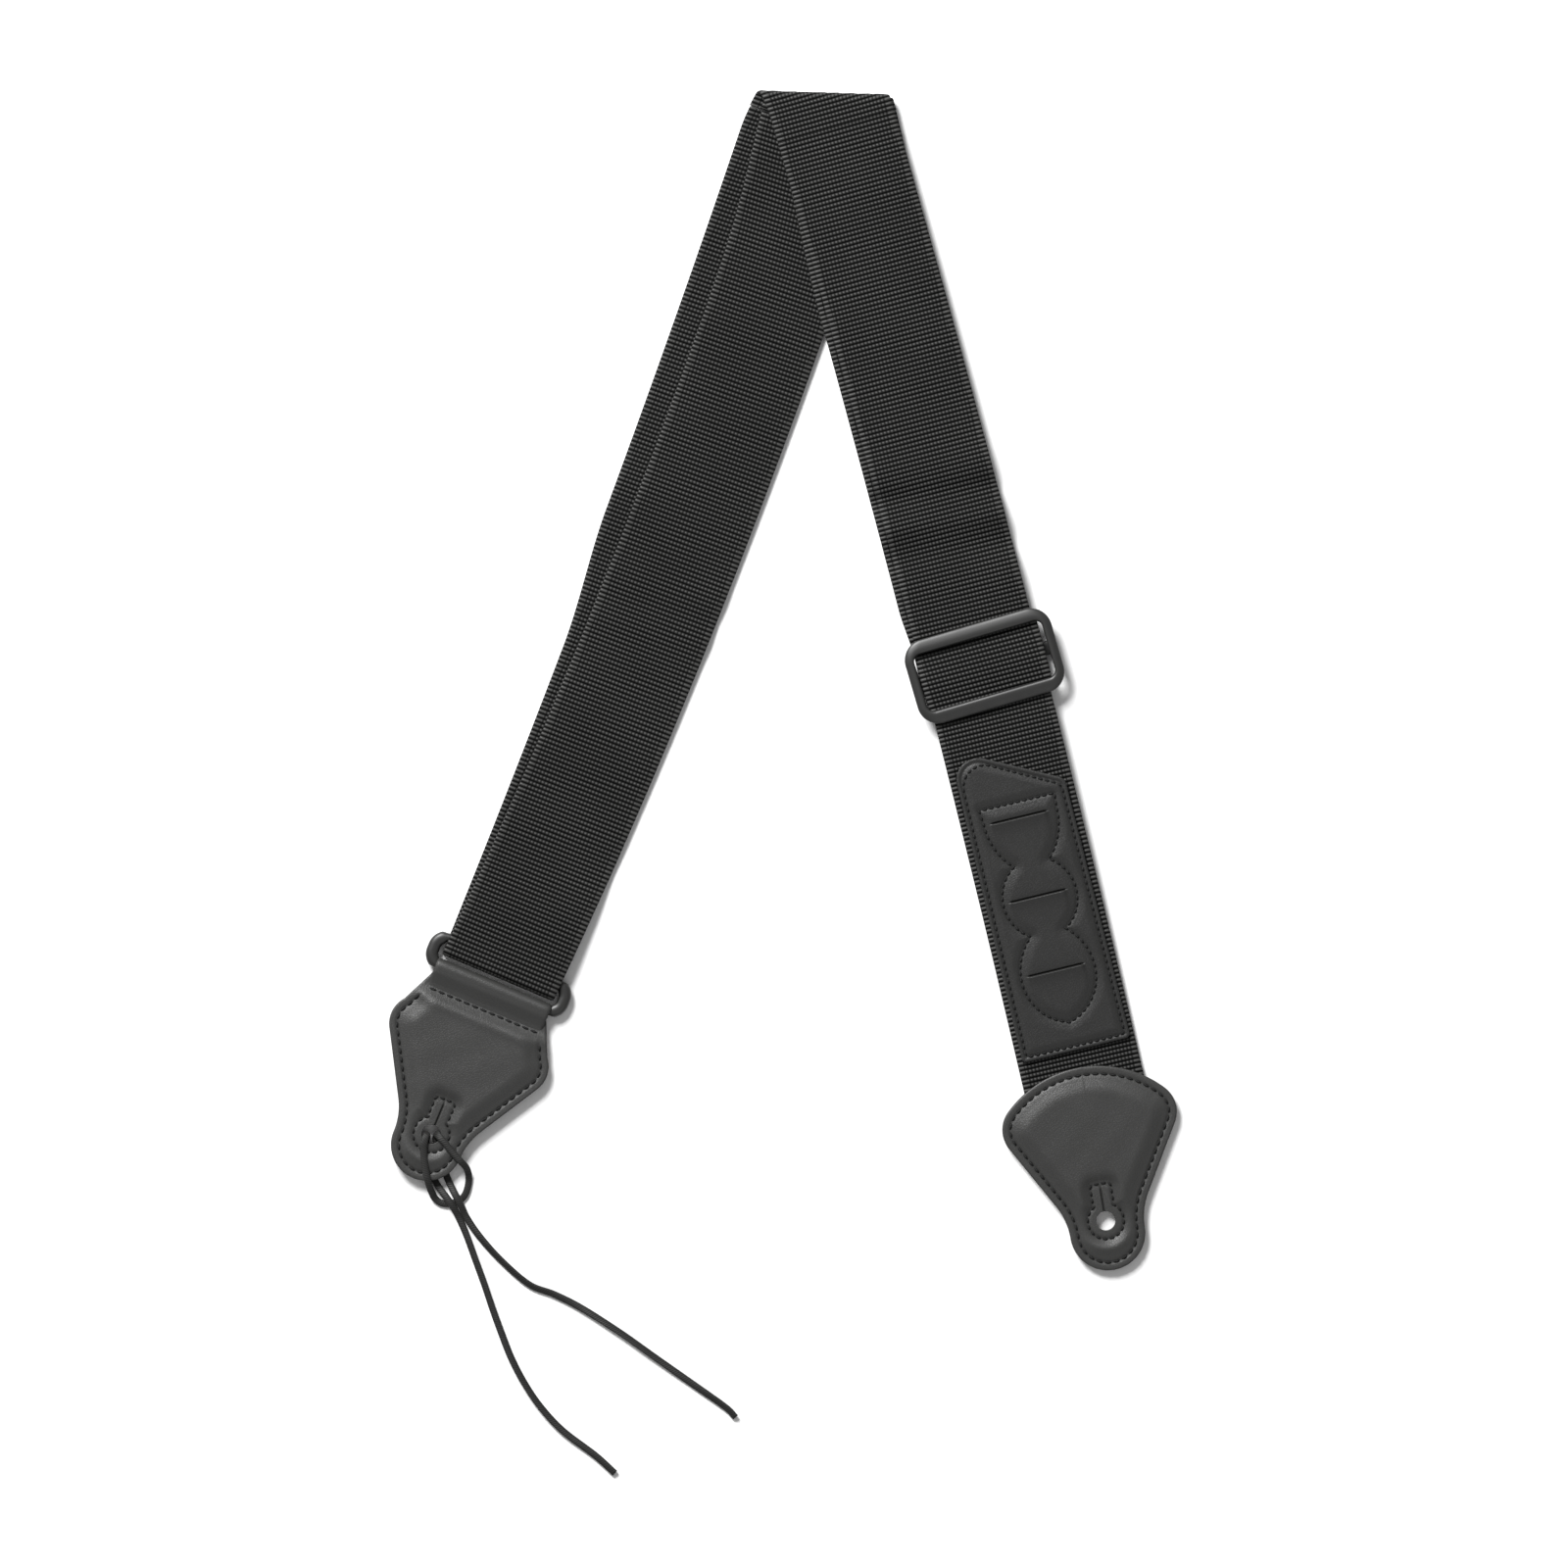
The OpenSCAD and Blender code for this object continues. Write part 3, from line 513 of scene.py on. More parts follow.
def ribbon(name, cloth, place):
    """Webbing as a closed ribbon: the middle surface from place, half the thickness to either side,
    thinner at the edges, plus ribs that follow the cosine of the length along the cloth."""
    length, v = np.meshgrid(cloth, SIDE_V, indexing="ij")
    middle, normal = place(length, v)
    edge = np.clip((WEB_HALF - np.abs(v)) / 0.7, 0, 1) ** 0.5
    inside = smooth((RIB_HALF + 0.3 - np.abs(v)) / 0.8)
    half = WEB_T / 2 * (0.45 + 0.55 * edge) - 0.1 * (1 - inside) * edge
    ribs = -RIB_RELIEF * inside * (0.5 + 0.5 * np.cos(2 * np.pi * length / RIB))
    face = middle + (half + ribs)[..., None] * normal
    back = middle - (half + ribs)[..., None] * normal
    points = np.concatenate([face, back[:, ::-1]], 1)
    uv = np.stack([np.concatenate([length, length[:, ::-1]], 1), np.concatenate([v, v[:, ::-1]], 1)], -1)
    return mesh_of(name, points, tube_faces(len(cloth), 2 * len(SIDE_V)), uv)


def tilted(slope, direction, sign=1.0):
    """The normal of a surface that climbs by slope along a plan direction."""
    n = np.concatenate([-slope[..., None] * direction, np.ones(slope.shape + (1,))], -1)
    return sign * n / np.linalg.norm(n, axis=-1, keepdims=True)


def lift_at(height, s, v=0.0):
    """A height function and its slope along s."""
    return height(s, v), (height(s + 0.05, v) - height(s - 0.05, v)) / 0.1


# Folds left in the front run above the slider: height, distance from the fold and width
CREASES = ((1.2, 157, 7), (-1.4, 169, 4), (1.5, 181, 4.5), (-1.5, 193, 5), (0.8, 206, 8))


def creases(s, v):
    """The folds' heights added up; they lean slightly across the webbing."""
    q = s - 0.10 * v
    return sum(high * bell(q, place, width) for high, place, width in CREASES) * (1 - 0.25 * np.cos(v / 9))


def front_height(s, v):
    """Middle of the running layer: level to past the slider, then down to the button end."""
    slope = np.clip((s - FLAT_END) / (FRONT_LEN - FLAT_END), 0, 1)
    wave = 0.12 * np.sin(s / 21.0) * np.cos(v / 14.0) * smooth((s - 20) / 40) * smooth((262 - s) / 10)
    return TOP_MID - (TOP_MID - LOW_END_Z) * slope + creases(s, v) + wave


def inner_height(s, v):
    """Middle of the inner layer under it, which gives way below the creases."""
    return UNDER_MID + np.minimum(creases(s, v), 0) * 0.9


def flat_place(run, s_of, offset, height, lean_turn=None):
    """Places cloth on a run: s_of turns cloth length into run length."""
    def place(length, v):
        s = s_of(length)
        turn = 0 if lean_turn is None else lean_turn(s)
        plan = run_point(run, s, v + offset(s), run_lean(run, s) + turn)
        z, slope = lift_at(height, s, v)
        along = -up(run_lean(run, s))
        return np.concatenate([plan, z[..., None]], -1), tilted(slope, along)
    return place


def no_offset(s):
    """The running layer keeps to the run's middle."""
    return 0 * s


def running_stray(s):
    """The running layer strays a little to the left over the upper half of the back."""
    return 3.3 * smooth((s + 10) / 32) * smooth((250 - s) / 60)


def over_fold(radius, offset):
    """Cloth taken round the fold: in the front run's plane, what lies past the fold line by n turns
    through n over the radius, keeps its place along the line, and past half a turn lies on the back."""
    line, out = across(FOLD_LEAN), up(FOLD_LEAN)

    def place(length, v):
        plan = run_point(FRONT, length, v + offset(length)) - FOLD
        t, n = plan @ line, plan @ out
        angle = np.clip(n / radius, 0, np.pi)
        beyond = n - np.pi * radius
        push = np.where(n < 0, n, np.where(beyond > 0, -beyond, radius * np.sin(angle)))
        middle = FOLD + t[..., None] * line + push[..., None] * out
        z = FOLD_Z + radius * np.cos(angle)
        normal = np.concatenate([np.sin(angle)[..., None] * out, np.cos(angle)[..., None]], -1)
        return np.concatenate([middle, z[..., None]], -1), normal
    return place


FOLD_HOLD = 12.0
FOLD_TURN = np.radians(-run_lean(FRONT, 0.0) + FOLD_LEAN)
fold_point = np.array([*FOLD, 0.0])
across_fold = ("strap_back", "strap_front", fold_point + [0, 0, 1.9], fold_point + [0, 0, 4.5])
OUTER_TURN = np.pi * OUTER_R / math.cos(FOLD_TURN)
INNER_TURN = np.pi * INNER_R / math.cos(FOLD_TURN)
INNER_AT_FOLD = 1.0


def fold_piece(name, radius, turn, offset, node):
    """The webbing's way round the fold, with a stretch on either run."""
    cloth = np.arange(-FOLD_HOLD - turn, FOLD_HOLD + RIB_STEP / 2, RIB_STEP)
    obj = ribbon(name, cloth, over_fold(radius, offset))
    return finish_piece(obj, WEBBING, blend=across_fold, nodes=[node])


fold_piece("webbing_over_fold", OUTER_R, OUTER_TURN,
           lambda cloth: -running_stray(-cloth - OUTER_TURN), "webbing_fold_outer")
fold_piece("webbing_inside_fold", INNER_R, INNER_TURN,
           lambda cloth: INNER_AT_FOLD + 0 * cloth, "webbing_fold_inner")

# Front running layer, down into the button end
HINGE = np.array([*pivot("button_end_flex"), 2.5])
toward_fold = np.array([*up(BUTTON_LEAN), 0])
front_cloth = np.arange(FOLD_HOLD, 430.0, RIB_STEP)
front_web = ribbon("webbing_front", front_cloth, flat_place(FRONT, lambda s: s, no_offset, front_height))
finish_piece(front_web, WEBBING,
             blend=("strap_front", "button_end", HINGE + 6 * toward_fold, HINGE - 3 * toward_fold),
             nodes=["webbing_front_running", "webbing_button_tail"])

# Inner layer: from the fold to the slider, round its centre bar and back as the sewn tail
CORE_Z, LOOP_R, LOOP_BACK = 2.6, 1.75, 2.0
TAIL = 30.0
LOOP_S = SLIDER_S + LOOP_BACK


def inner_shift(s):
    """The inner layer strays from the right of the running layer to its left on its way down."""
    return INNER_AT_FOLD - 3.8 * smooth(s / 90) + 1.4 * smooth((s - 212) / 20)


def tail_height(s):
    """The sewn tail: low under the centre bar, rising to the inner layer beyond it."""
    return CORE_Z - LOOP_R + (UNDER_MID - WEB_T - 0.15 - CORE_Z + LOOP_R) * smooth((SLIDER_S - 5 - s) / 9)


def slider_loop_place(length, v):
    """Three stretches: down the run, half a turn round the centre bar, and back up below it."""
    half_turn = np.pi * LOOP_R
    angle = np.clip((length - LOOP_S) / LOOP_R, 0, np.pi)
    s = np.where(length < LOOP_S, length, LOOP_S + LOOP_R * np.sin(angle))
    s = np.where(length > LOOP_S + half_turn, 2 * LOOP_S + half_turn - length, s)
    turn = (SLIDER_LEAN - run_lean(FRONT, s)) * smooth((s - 215) / 25)
    plan = run_point(FRONT, s, v + inner_shift(s), run_lean(FRONT, s) + turn)
    top, slope = lift_at(inner_height, s, v)
    z = np.where(length < LOOP_S, top, CORE_Z + LOOP_R * np.cos(angle))
    z = np.where(length > LOOP_S + half_turn, tail_height(s), z)
    down = -up(run_lean(FRONT, s))
    normal = np.concatenate([np.sin(angle)[..., None] * down, np.cos(angle)[..., None]], -1)
    normal = np.where((length < LOOP_S)[..., None], tilted(slope, down), normal)
    return np.concatenate([plan, z[..., None]], -1), normal


slider_top = np.array([*SLIDER_MID, 5.0]) + 22 * np.array([*up(SLIDER_LEAN), 0])
inner_cloth = np.arange(FOLD_HOLD, LOOP_S + np.pi * LOOP_R + TAIL, RIB_STEP)
inner_web = ribbon("webbing_inner_and_loop", inner_cloth, slider_loop_place)
finish_piece(inner_web, WEBBING,
             blend=("strap_front", "slider", fold_point - 20 * np.array([*up(FRONT[1]), 0]), slider_top),
             nodes=["webbing_front_inner", "webbing_slider_loop"])


# Running layer where it humps over the centre bar, seen in the slider's window
WINDOW_LEAN = SLIDER_LEAN + 1.2
WINDOW_SPREAD, WINDOW_SIDE = 1.06, 0.7
HUMP, HUMP_LENGTH = 1.5, 27


def window_place(length, v):
    """A hump in the slider's own frame: the square of a cosine, 1.5 mm high at the centre bar, where
    the cloth lies a little wider."""
    plan = (SLIDER_MID + (WINDOW_SPREAD * v - WINDOW_SIDE)[..., None] * across(WINDOW_LEAN)
            + length[..., None] * up(WINDOW_LEAN))
    hump = np.cos(np.pi * np.clip(length / HUMP_LENGTH, -0.5, 0.5)) ** 2
    z = TOP_MID + 0.12 + HUMP * hump
    slope = -HUMP * np.pi / HUMP_LENGTH * np.sin(2 * np.pi * length / HUMP_LENGTH)
    return np.concatenate([plan, z[..., None]], -1), tilted(slope, up(SLIDER_LEAN))


window_web = ribbon("webbing_in_slider", np.arange(-14.0, 14.01, RIB_STEP), window_place)
finish_piece(window_web, WEBBING, body="slider")

# Back run: the running layer down to the ring, round its bar, and back up as the inner layer
RING_R = 2.55
RING_SLACK = 4.5
LOOP_END = BACK_LEN + RING_SLACK


def back_shift(s):
    """The inner layer lies to the right of the running one, less so near the ring and the fold."""
    return 7.5 - 7.0 * (s / BACK_LEN) ** 3 - 5.0 * bell(s, 0, 45)


def to_ring(s):
    """Turns the cloth square to the ring's bar over its last stretch."""
    return (RING_LEAN - run_lean(BACK, BACK_LEN)) * smooth((s - BACK_LEN + 60) / 50)


def back_height(s, v):
    """Middle of the back's inner layer: level, a crease across, waves, then up over the ring's bar."""
    rise = (BAR_Z + RING_R - INNER_MID) * smooth((s - 326) / 50)
    q = s + 0.1 * v
    crease = -0.3 * bell(q, 221, 3.5) + 0.55 * bell(q, 231, 5) + 0.4 * bell(q, 212, 6)
    waves = 0.3 * np.sin((s + 0.3 * v) / 5.5) * bell(s, 340, 22)
    return INNER_MID + rise + crease + waves


def back_place(length, v):
    """Three stretches in cloth length, as round the slider's bar: down at the bottom, half a turn
    round the ring's bar, and back up on top."""
    half_turn = np.pi * RING_R
    angle = np.clip((length - LOOP_END) / RING_R, 0, np.pi)
    s = np.where(length < LOOP_END, length, LOOP_END + RING_R * np.sin(angle))
    s = np.where(length > LOOP_END + half_turn, 2 * LOOP_END + half_turn - length, s)
    upper = smooth((length - LOOP_END) / half_turn)
    offset = v + back_shift(s) * upper - running_stray(s) * (1 - upper)
    plan = run_point(BACK, s, offset, run_lean(BACK, s) + to_ring(s))
    top, slope = lift_at(back_height, s, v)
    z = np.where(length < LOOP_END, LOW_MID, BAR_Z - RING_R * np.cos(angle))
    z = np.where(length > LOOP_END + half_turn, top, z)
    down = -up(run_lean(BACK, s))
    normal = np.concatenate([np.sin(angle)[..., None] * down, -np.cos(angle)[..., None]], -1)
    normal = np.where((length > LOOP_END + half_turn)[..., None], tilted(slope, down), normal)
    return np.concatenate([plan, z[..., None]], -1), normal


back_cloth = np.arange(FOLD_HOLD, 2 * LOOP_END + np.pi * RING_R - FOLD_HOLD, RIB_STEP)
back_web = ribbon("webbing_back", back_cloth, back_place)
up_back = np.array([*up(BACK_LEAN), 0])
finish_piece(back_web, WEBBING,
             blend=("strap_back", "ring_loop", fold_point - 30 * up_back,
                    np.array([*RING_BAR, 0]) + 20 * up_back),
             nodes=["webbing_back_running", "webbing_back_inner", "webbing_ring_loop"])


# ---------------------------------------------------------------- plan frames, arcs and stitches
def lay(origin, lean, base=0.0, tilt=0.0):
    """Turns local points (across, up, height) into the row frame, on a plane that climbs by tilt."""
    def to_frame(c, a, z):
        plan = origin + np.asarray(c)[..., None] * across(lean) + np.asarray(a)[..., None] * up(lean)
        return np.concatenate([plan, (np.asarray(z) + base + np.asarray(a) * tilt)[..., None]], -1)
    return to_frame


def arc(centre, radius, start, end, count):
    """Points of an arc, by angle in degrees."""
    a = np.radians(np.linspace(start, end, count))
    return np.stack([centre[0] + radius * np.cos(a), centre[1] + radius * np.sin(a)], -1)


def whole(half):
    """A half outline and its mirror image, as one ring."""
    return np.vstack([half, half[::-1] * [-1, 1]])


def evenly(path, count):
    """Points at equal distances along a path, with the path's direction there."""
    step = np.linalg.norm(np.diff(path, axis=0), axis=1)
    d = np.concatenate([[0], np.cumsum(step)])
    at = (np.arange(count) + 0.5) * d[-1] / count
    p = np.stack([np.interp(at, d, path[:, k]) for k in (0, 1)], -1)
    q = np.stack([np.interp(at + 0.05, d, path[:, k]) for k in (0, 1)], -1)
    way = q - p
    return p, way / np.maximum(np.linalg.norm(way, axis=1), 1e-9)[:, None], d[-1]


THREAD_R = 0.5
STITCH_RINGS, STITCH_SIDES = 7, 6


def stitch_points(path, pitch, height):
    """Stitches along a path: each a thread that arches up by a parabola and narrows as the root of
    a sine where it dives into the leather."""
    count = max(1, int(np.linalg.norm(np.diff(path, axis=0), axis=1).sum() // pitch))
    centre, way, total = evenly(path, count)
    t = np.linspace(0.02, 0.98, STITCH_RINGS)
    angle = np.linspace(0, 2 * np.pi, STITCH_SIDES, endpoint=False)
    size = THREAD_R * np.sin(np.pi * t) ** 0.4
    along = (t - 0.5) * (total / count) * 0.84
    lift = 0.28 - 1.5 * (t - 0.5) ** 2
    square = np.stack([-way[:, 1], way[:, 0]], -1)
    plan = (centre[:, None, None] + way[:, None, None] * along[None, :, None, None]
            + square[:, None, None] * (size[:, None] * np.cos(angle))[None, :, :, None])
    z = height(plan[..., 0], plan[..., 1]) + (lift[:, None] + size[:, None] * np.sin(angle))[None]
    uv = np.stack(np.broadcast_arrays(along[None, :, None], angle[None, None, :] * 0.4 + 0 * z), -1)
    return plan[..., 0], plan[..., 1], z, uv


def stitching(name, rows, to_frame, height, body, nodes):
    """One piece of all the stitches on the given (path, pitch) rows."""
    points, uvs = [], []
    for path, pitch in rows:
        c, a, z, uv = stitch_points(np.asarray(path, float), pitch, height)
        points.append(to_frame(c, a, z).reshape(-1, 3))
        uvs.append(uv.reshape(-1, 2))
    points, uvs = np.vstack(points), np.vstack(uvs)
    size = STITCH_RINGS * STITCH_SIDES
    faces = [f for start in range(0, len(points), size)
             for f in tube_faces(STITCH_RINGS, STITCH_SIDES, start)]
    obj = mesh_of(name, points, faces, uvs)
    return finish_piece(obj, THREAD, body=body, nodes=nodes)


# ---------------------------------------------------------------- leather ends
LOBE_R, LOBE_DROP, WAIST_R, FLANK, FLANK_LEN, SHOULDER_R, TOP_AT = 15.6, 5.0, 28.0, 30.0, 30.9, 12.5, 64.5
HOLE_R, HIDE_T, INSET, END_PITCH = 4.0, 1.2, 3.3, 3.6
SLIT_END = 14.3
waist_end = np.array([LOBE_R + WAIST_R * (1 - math.cos(math.radians(FLANK))),
                      WAIST_R * math.sin(math.radians(FLANK)) - LOBE_DROP])
shoulder = waist_end + FLANK_LEN * up(FLANK) - SHOULDER_R * across(FLANK)
top_drop = TOP_AT - shoulder[1]
TOP_R = (shoulder[0] ** 2 + top_drop ** 2 - SHOULDER_R ** 2) / (2 * (top_drop - SHOULDER_R))
TOP_A = math.degrees(math.atan2(shoulder[1] - TOP_AT + TOP_R, shoulder[0]))


def low_half(i):
    """Right half of a leather end's lower part at inset i: lobe, waist and flank."""
    return np.vstack([arc((0, -LOBE_DROP), LOBE_R - i, -90, 0, 44),
                      arc((LOBE_R + WAIST_R, -LOBE_DROP), WAIST_R + i, 180, 180 - FLANK, 26)[1:],
                      np.linspace(waist_end - i * across(FLANK),
                                  shoulder + (SHOULDER_R - i) * across(FLANK), 40)[1:]])


def button_half(i):
    """Right half of the button end: shoulder arc, then a top arc that is tangent to it."""
    return np.vstack([low_half(i), arc(shoulder, SHOULDER_R - i, -FLANK, TOP_A, 26)[1:],
                      arc((0, TOP_AT - TOP_R), TOP_R - i, TOP_A, 90, 50)[1:]])


TIE_RATIO = 0.955


def tie_half(i, top):
    """Right half of the tie end: the same lower part and shoulder, smaller by the ratio, then
    straight in to the tab's corner."""
    corner = np.array([WEB_HALF + 0.6 - i / 2, top - i])
    own = i / TIE_RATIO
    body = np.vstack([low_half(own), arc(shoulder, SHOULDER_R - own, -FLANK, 40, 24)[1:]]) * TIE_RATIO
    side = np.linspace(body[-1], corner, 20)[1:]
    return np.vstack([body, side, np.linspace(corner, [0, corner[1]], 36)[1:]])


KEY_R, KEY_HALF, KEY_TOP = 7.5, 4.3, 15.6
KEY_A = math.degrees(math.acos(KEY_HALF / KEY_R))
keyhole = np.vstack([[[0.0, KEY_TOP]], arc((KEY_HALF - 1.6, KEY_TOP - 1.6), 1.6, 90, 0, 5),
                     arc((0, 0), KEY_R, KEY_A, -180 - KEY_A, 40),
                     arc((1.6 - KEY_HALF, KEY_TOP - 1.6), 1.6, 180, 90, 5), [[0.0, KEY_TOP]]])


def distance_to(path, c, a):
    """Least distance from each point to a path's closely spaced points."""
    fine, _, _ = evenly(path, 500)
    flat = np.stack([c.ravel(), a.ravel()], -1)
    best = [np.sqrt(((block[:, None] - fine[None]) ** 2).sum(-1).min(1))
            for block in np.array_split(flat, 24)]
    return np.concatenate(best).reshape(c.shape)


def end_surface(outline, base, body_top=None, puff=1.5):
    """Height of a padded leather end: flat rim, a groove under the edge stitching, then a crown that
    swells with distance from it and dies away at the keyhole; a slit runs up from the hole."""
    ring = np.vstack([outline, outline[:1]])

    def height(c, a):
        edge = distance_to(ring, c, a)
        key = distance_to(keyhole, c, a)
        inside = (np.hypot(c, a) < KEY_R) | ((np.abs(c) < KEY_HALF) & (a > 0) & (a < KEY_TOP))
        crown = puff * smooth((edge - INSET + 0.3) / 8) * np.where(inside, 0, smooth(key / 5))
        groove = 0.38 * bell(edge, INSET, 0.7) + 0.38 * bell(key, 0, 0.7)
        slit = 0.9 * bell(c, 0, 0.32) * (a > HOLE_R - 0.5) * smooth((SLIT_END - a) / 0.8)
        ripple = 0.09 * np.sin(c / 3.3 + 1.3 * np.sin(a / 9)) * np.sin(a / 4.1) * smooth((edge - 4) / 6)
        roll = 0.45 * np.clip(1 - edge / 0.7, 0, 1) ** 2
        z = crown + ripple
        if body_top is not None:
            z = z * smooth((body_top - a) / 4.5) + 0.8 * bell(a, body_top - 2, 2.2) * smooth(edge / 5)
            z = z - 1.1 * smooth((a - body_top) / 3)
            groove = groove * smooth((body_top - 1 - a) / 2) + 0.35 * bell(a, body_top + 0.6, 1.1)
        return base + z - groove - slit - roll
    return height


def leather_shell(name, outline, top, bottom_z, to_frame, material, body, node):
    """A sheet from the hole's edge to the outline along straight spokes: a curved top and a flat
    underside, closed at both rims."""
    spoke = outline - HOLE_R * outline / np.linalg.norm(outline, axis=1)[:, None]
    length = np.linalg.norm(spoke, axis=1)[:, None]
    near = np.array([0.0, 0.15, 0.5, 1.0, 1.6, 2.2, 2.8, 3.2, 3.5, 3.9, 4.4, 5.2, 6.2])
    rim = np.array([6.5, 5.4, 4.6, 4.1, 3.7, 3.3, 2.9, 2.5, 2.0, 1.3, 0.7, 0.4, 0.2, 0.0])
    scale = np.minimum(1, length / 14)
    middle = np.linspace(0, 1, 34)[1:-1][None, :]
    start, end = near[-1] * scale / length, 1 - rim[0] * scale / length
    q = np.hstack([near[None] * scale / length, start + (end - start) * middle,
                   1 - rim[None] * scale / length])
    hole = outline - spoke
    c = hole[:, :1] + q * spoke[:, :1]
    a = hole[:, 1:] + q * spoke[:, 1:]
    z = top(c, a)
    under = [0, 8, 25, len(q[0]) - 6, len(q[0]) - 1][::-1]
    c = np.hstack([c, c[:, under]])
    a = np.hstack([a, a[:, under]])
    z = np.hstack([z, np.full((len(outline), len(under)), bottom_z)])
    faces = grid_faces(len(outline), c.shape[1], wrap_rows=True)
    obj = mesh_of(name, to_frame(c, a, z), faces)
    return finish_piece(obj, material, body=body, nodes=[node])


def leather_end(side, origin, lean, half, base, back_z, body_top=None):
    """A leather end: padded front, flat back, edge stitching and keyhole stitching."""
    to_frame = lay(origin, lean)
    outline = whole(half(0.0))[:-1]
    front_top = end_surface(outline, base, body_top)
    leather_shell(f"{side}_leather_front", outline, front_top, base - HIDE_T, to_frame, HIDE,
                  side, f"{side}_front")
    leather_shell(f"{side}_leather_back", outline, lambda c, a: back_z + HIDE_T - 0.05 + 0 * c, back_z,
                  to_frame, SUEDE, side, f"{side}_back")
    edge = whole(half(INSET))
    if body_top is not None:
        edge = half(INSET)
        edge = edge[edge[:, 1] < body_top - 2]
        edge = np.vstack([edge[::-1] * [-1, 1], edge])
    stitching(f"{side}_edge_stitches", [(edge, END_PITCH)], to_frame, front_top, side,
              [f"{side}_edge_stitching"])
    stitching(f"{side}_hole_stitches", [(keyhole, END_PITCH * 0.8)], to_frame, front_top, side,
              [f"{side}_hole_stitching"])
    return to_frame, front_top


BUTTON_BASE = 3.7
leather_end("button_end", np.zeros(2), BUTTON_LEAN, button_half, BUTTON_BASE, 0.0)
TIE_BASE, TIE_BACK, BODY_TOP, LIP_FROM = 5.1, 1.4, 54.0, 56.5
tie_frame, tie_top = leather_end("tie_end", TIE_HOLE, TIE_LEAN, lambda i: tie_half(i, 62.0),
                                 TIE_BASE, TIE_BACK, BODY_TOP)
stitching("tie_end_tab_stitches", [([[-24.5, 55.8], [24.5, 55.8]], END_PITCH)], tie_frame, tie_top,
          "tie_end", ["tie_end_loop_stitching"])

# Tab: the leather's end wrapped round the ring's lower bar
TAB_R, TAB_HALF = 2.5, 25.6
tab_angle = np.radians(np.linspace(90, -90, 16))
tab_mid = np.vstack([[(LIP_FROM, TIE_BASE - 1.65), (58.5, TIE_BASE - 1.3), (60.5, TIE_BASE - 0.65),
                      (63.0, BAR_Z + TAB_R - 0.35)],
                     np.stack([TIE_REACH + TAB_R * np.cos(tab_angle), BAR_Z + TAB_R * np.sin(tab_angle)], -1),
                     [(60.0, BAR_Z - TAB_R), (51.5, BAR_Z - TAB_R)]])


def strip_sheet(name, profile, half_width, thickness, to_frame, sides):
    """A leather strip of constant width along a side profile, with rounded long edges."""
    way = np.gradient(profile, axis=0)
    way /= np.linalg.norm(way, axis=1)[:, None]
    normal = np.stack([-way[:, 1], way[:, 0]], -1)
    v = np.linspace(-1, 1, sides)
    c = half_width * np.sign(v) * np.abs(v) ** 0.6
    t = thickness / 2 * (1 - 0.5 * np.abs(v) ** 14)
    out = profile[:, None] + normal[:, None] * t[None, :, None]
    back = profile[:, None] - normal[:, None] * t[None, ::-1, None]
    shape = np.concatenate([out, back], 1)
    sideways = np.broadcast_to(np.concatenate([c, c[::-1]])[None], shape.shape[:2])
    points = to_frame(sideways, shape[..., 0], shape[..., 1])
    return mesh_of(name, points, tube_faces(len(profile), 2 * sides))


def finer(profile, step):
    """A profile resampled at even steps."""
    total = np.linalg.norm(np.diff(profile, axis=0), axis=1).sum()
    return np.vstack([profile[:1], evenly(profile, int(total // step))[0], profile[-1:]])


tab = strip_sheet("tie_end_tab", finer(tab_mid, 0.6), TAB_HALF, HIDE_T, tie_frame, 25)
finish_piece(tab, HIDE, body="tie_end")
for padding in ("button_end_padding", "tie_end_padding"):
    frame["nodes"][padding].data.materials.clear()
    frame["nodes"][padding].data.materials.append(CORE)

# ---------------------------------------------------------------- pick holder
PATCH_FOOT, PATCH_SIDE, PATCH_T, PATCH_PITCH = 7.3, 0.2, 1.6, 2.8
PATCH_LEFT, PATCH_RIGHT = 140.6, 118.1
low_end = run_point(FRONT, np.array(FRONT_LEN), np.array(0.0))
slope_top = run_point(FRONT, np.array(FLAT_END), np.array(0.0))
slope_run = np.linalg.norm(slope_top - low_end)
slope_lean = math.degrees(math.atan2(*(slope_top - low_end)))
on_slope = lay(low_end, slope_lean, LOW_END_Z + WEB_T / 2, (TOP_MID - LOW_END_Z) / slope_run)


def rounded(corners, count):
    """A polygon with round corners (x, y, radius): each arc is tangent to both of its sides."""
    points = []
    xy = np.array([k[:2] for k in corners], float)
    for i, (x, y, r) in enumerate(corners):
        p = xy[i]
        a = xy[i - 1] - p
        b = xy[(i + 1) % len(corners)] - p
        a, b = a / np.linalg.norm(a), b / np.linalg.norm(b)
        half = math.acos(a @ b) / 2
        c = p + (a + b) / np.linalg.norm(a + b) * r / math.sin(half)
        s, e = p + a * r / math.tan(half) - c, p + b * r / math.tan(half) - c
        t = np.linspace(0, 1, count)[:, None]
        d = s * (1 - t) + e * t
        points.append(c + r * d / np.linalg.norm(d, axis=1)[:, None])
    return np.vstack(points)


def patch_outline(i):
    """The patch at inset i: straight sides and a top that slants down to the right."""
    corners = [(23.0 - i, PATCH_FOOT + i, 2), (21.7 - i, PATCH_RIGHT - i, 4),
               (i - 22.2, PATCH_LEFT - 1.6 * i, 9), (i - 23.0, PATCH_FOOT + i, 2)]
    return rounded([(PATCH_SIDE + c, a, r) for c, a, r in corners], 14)


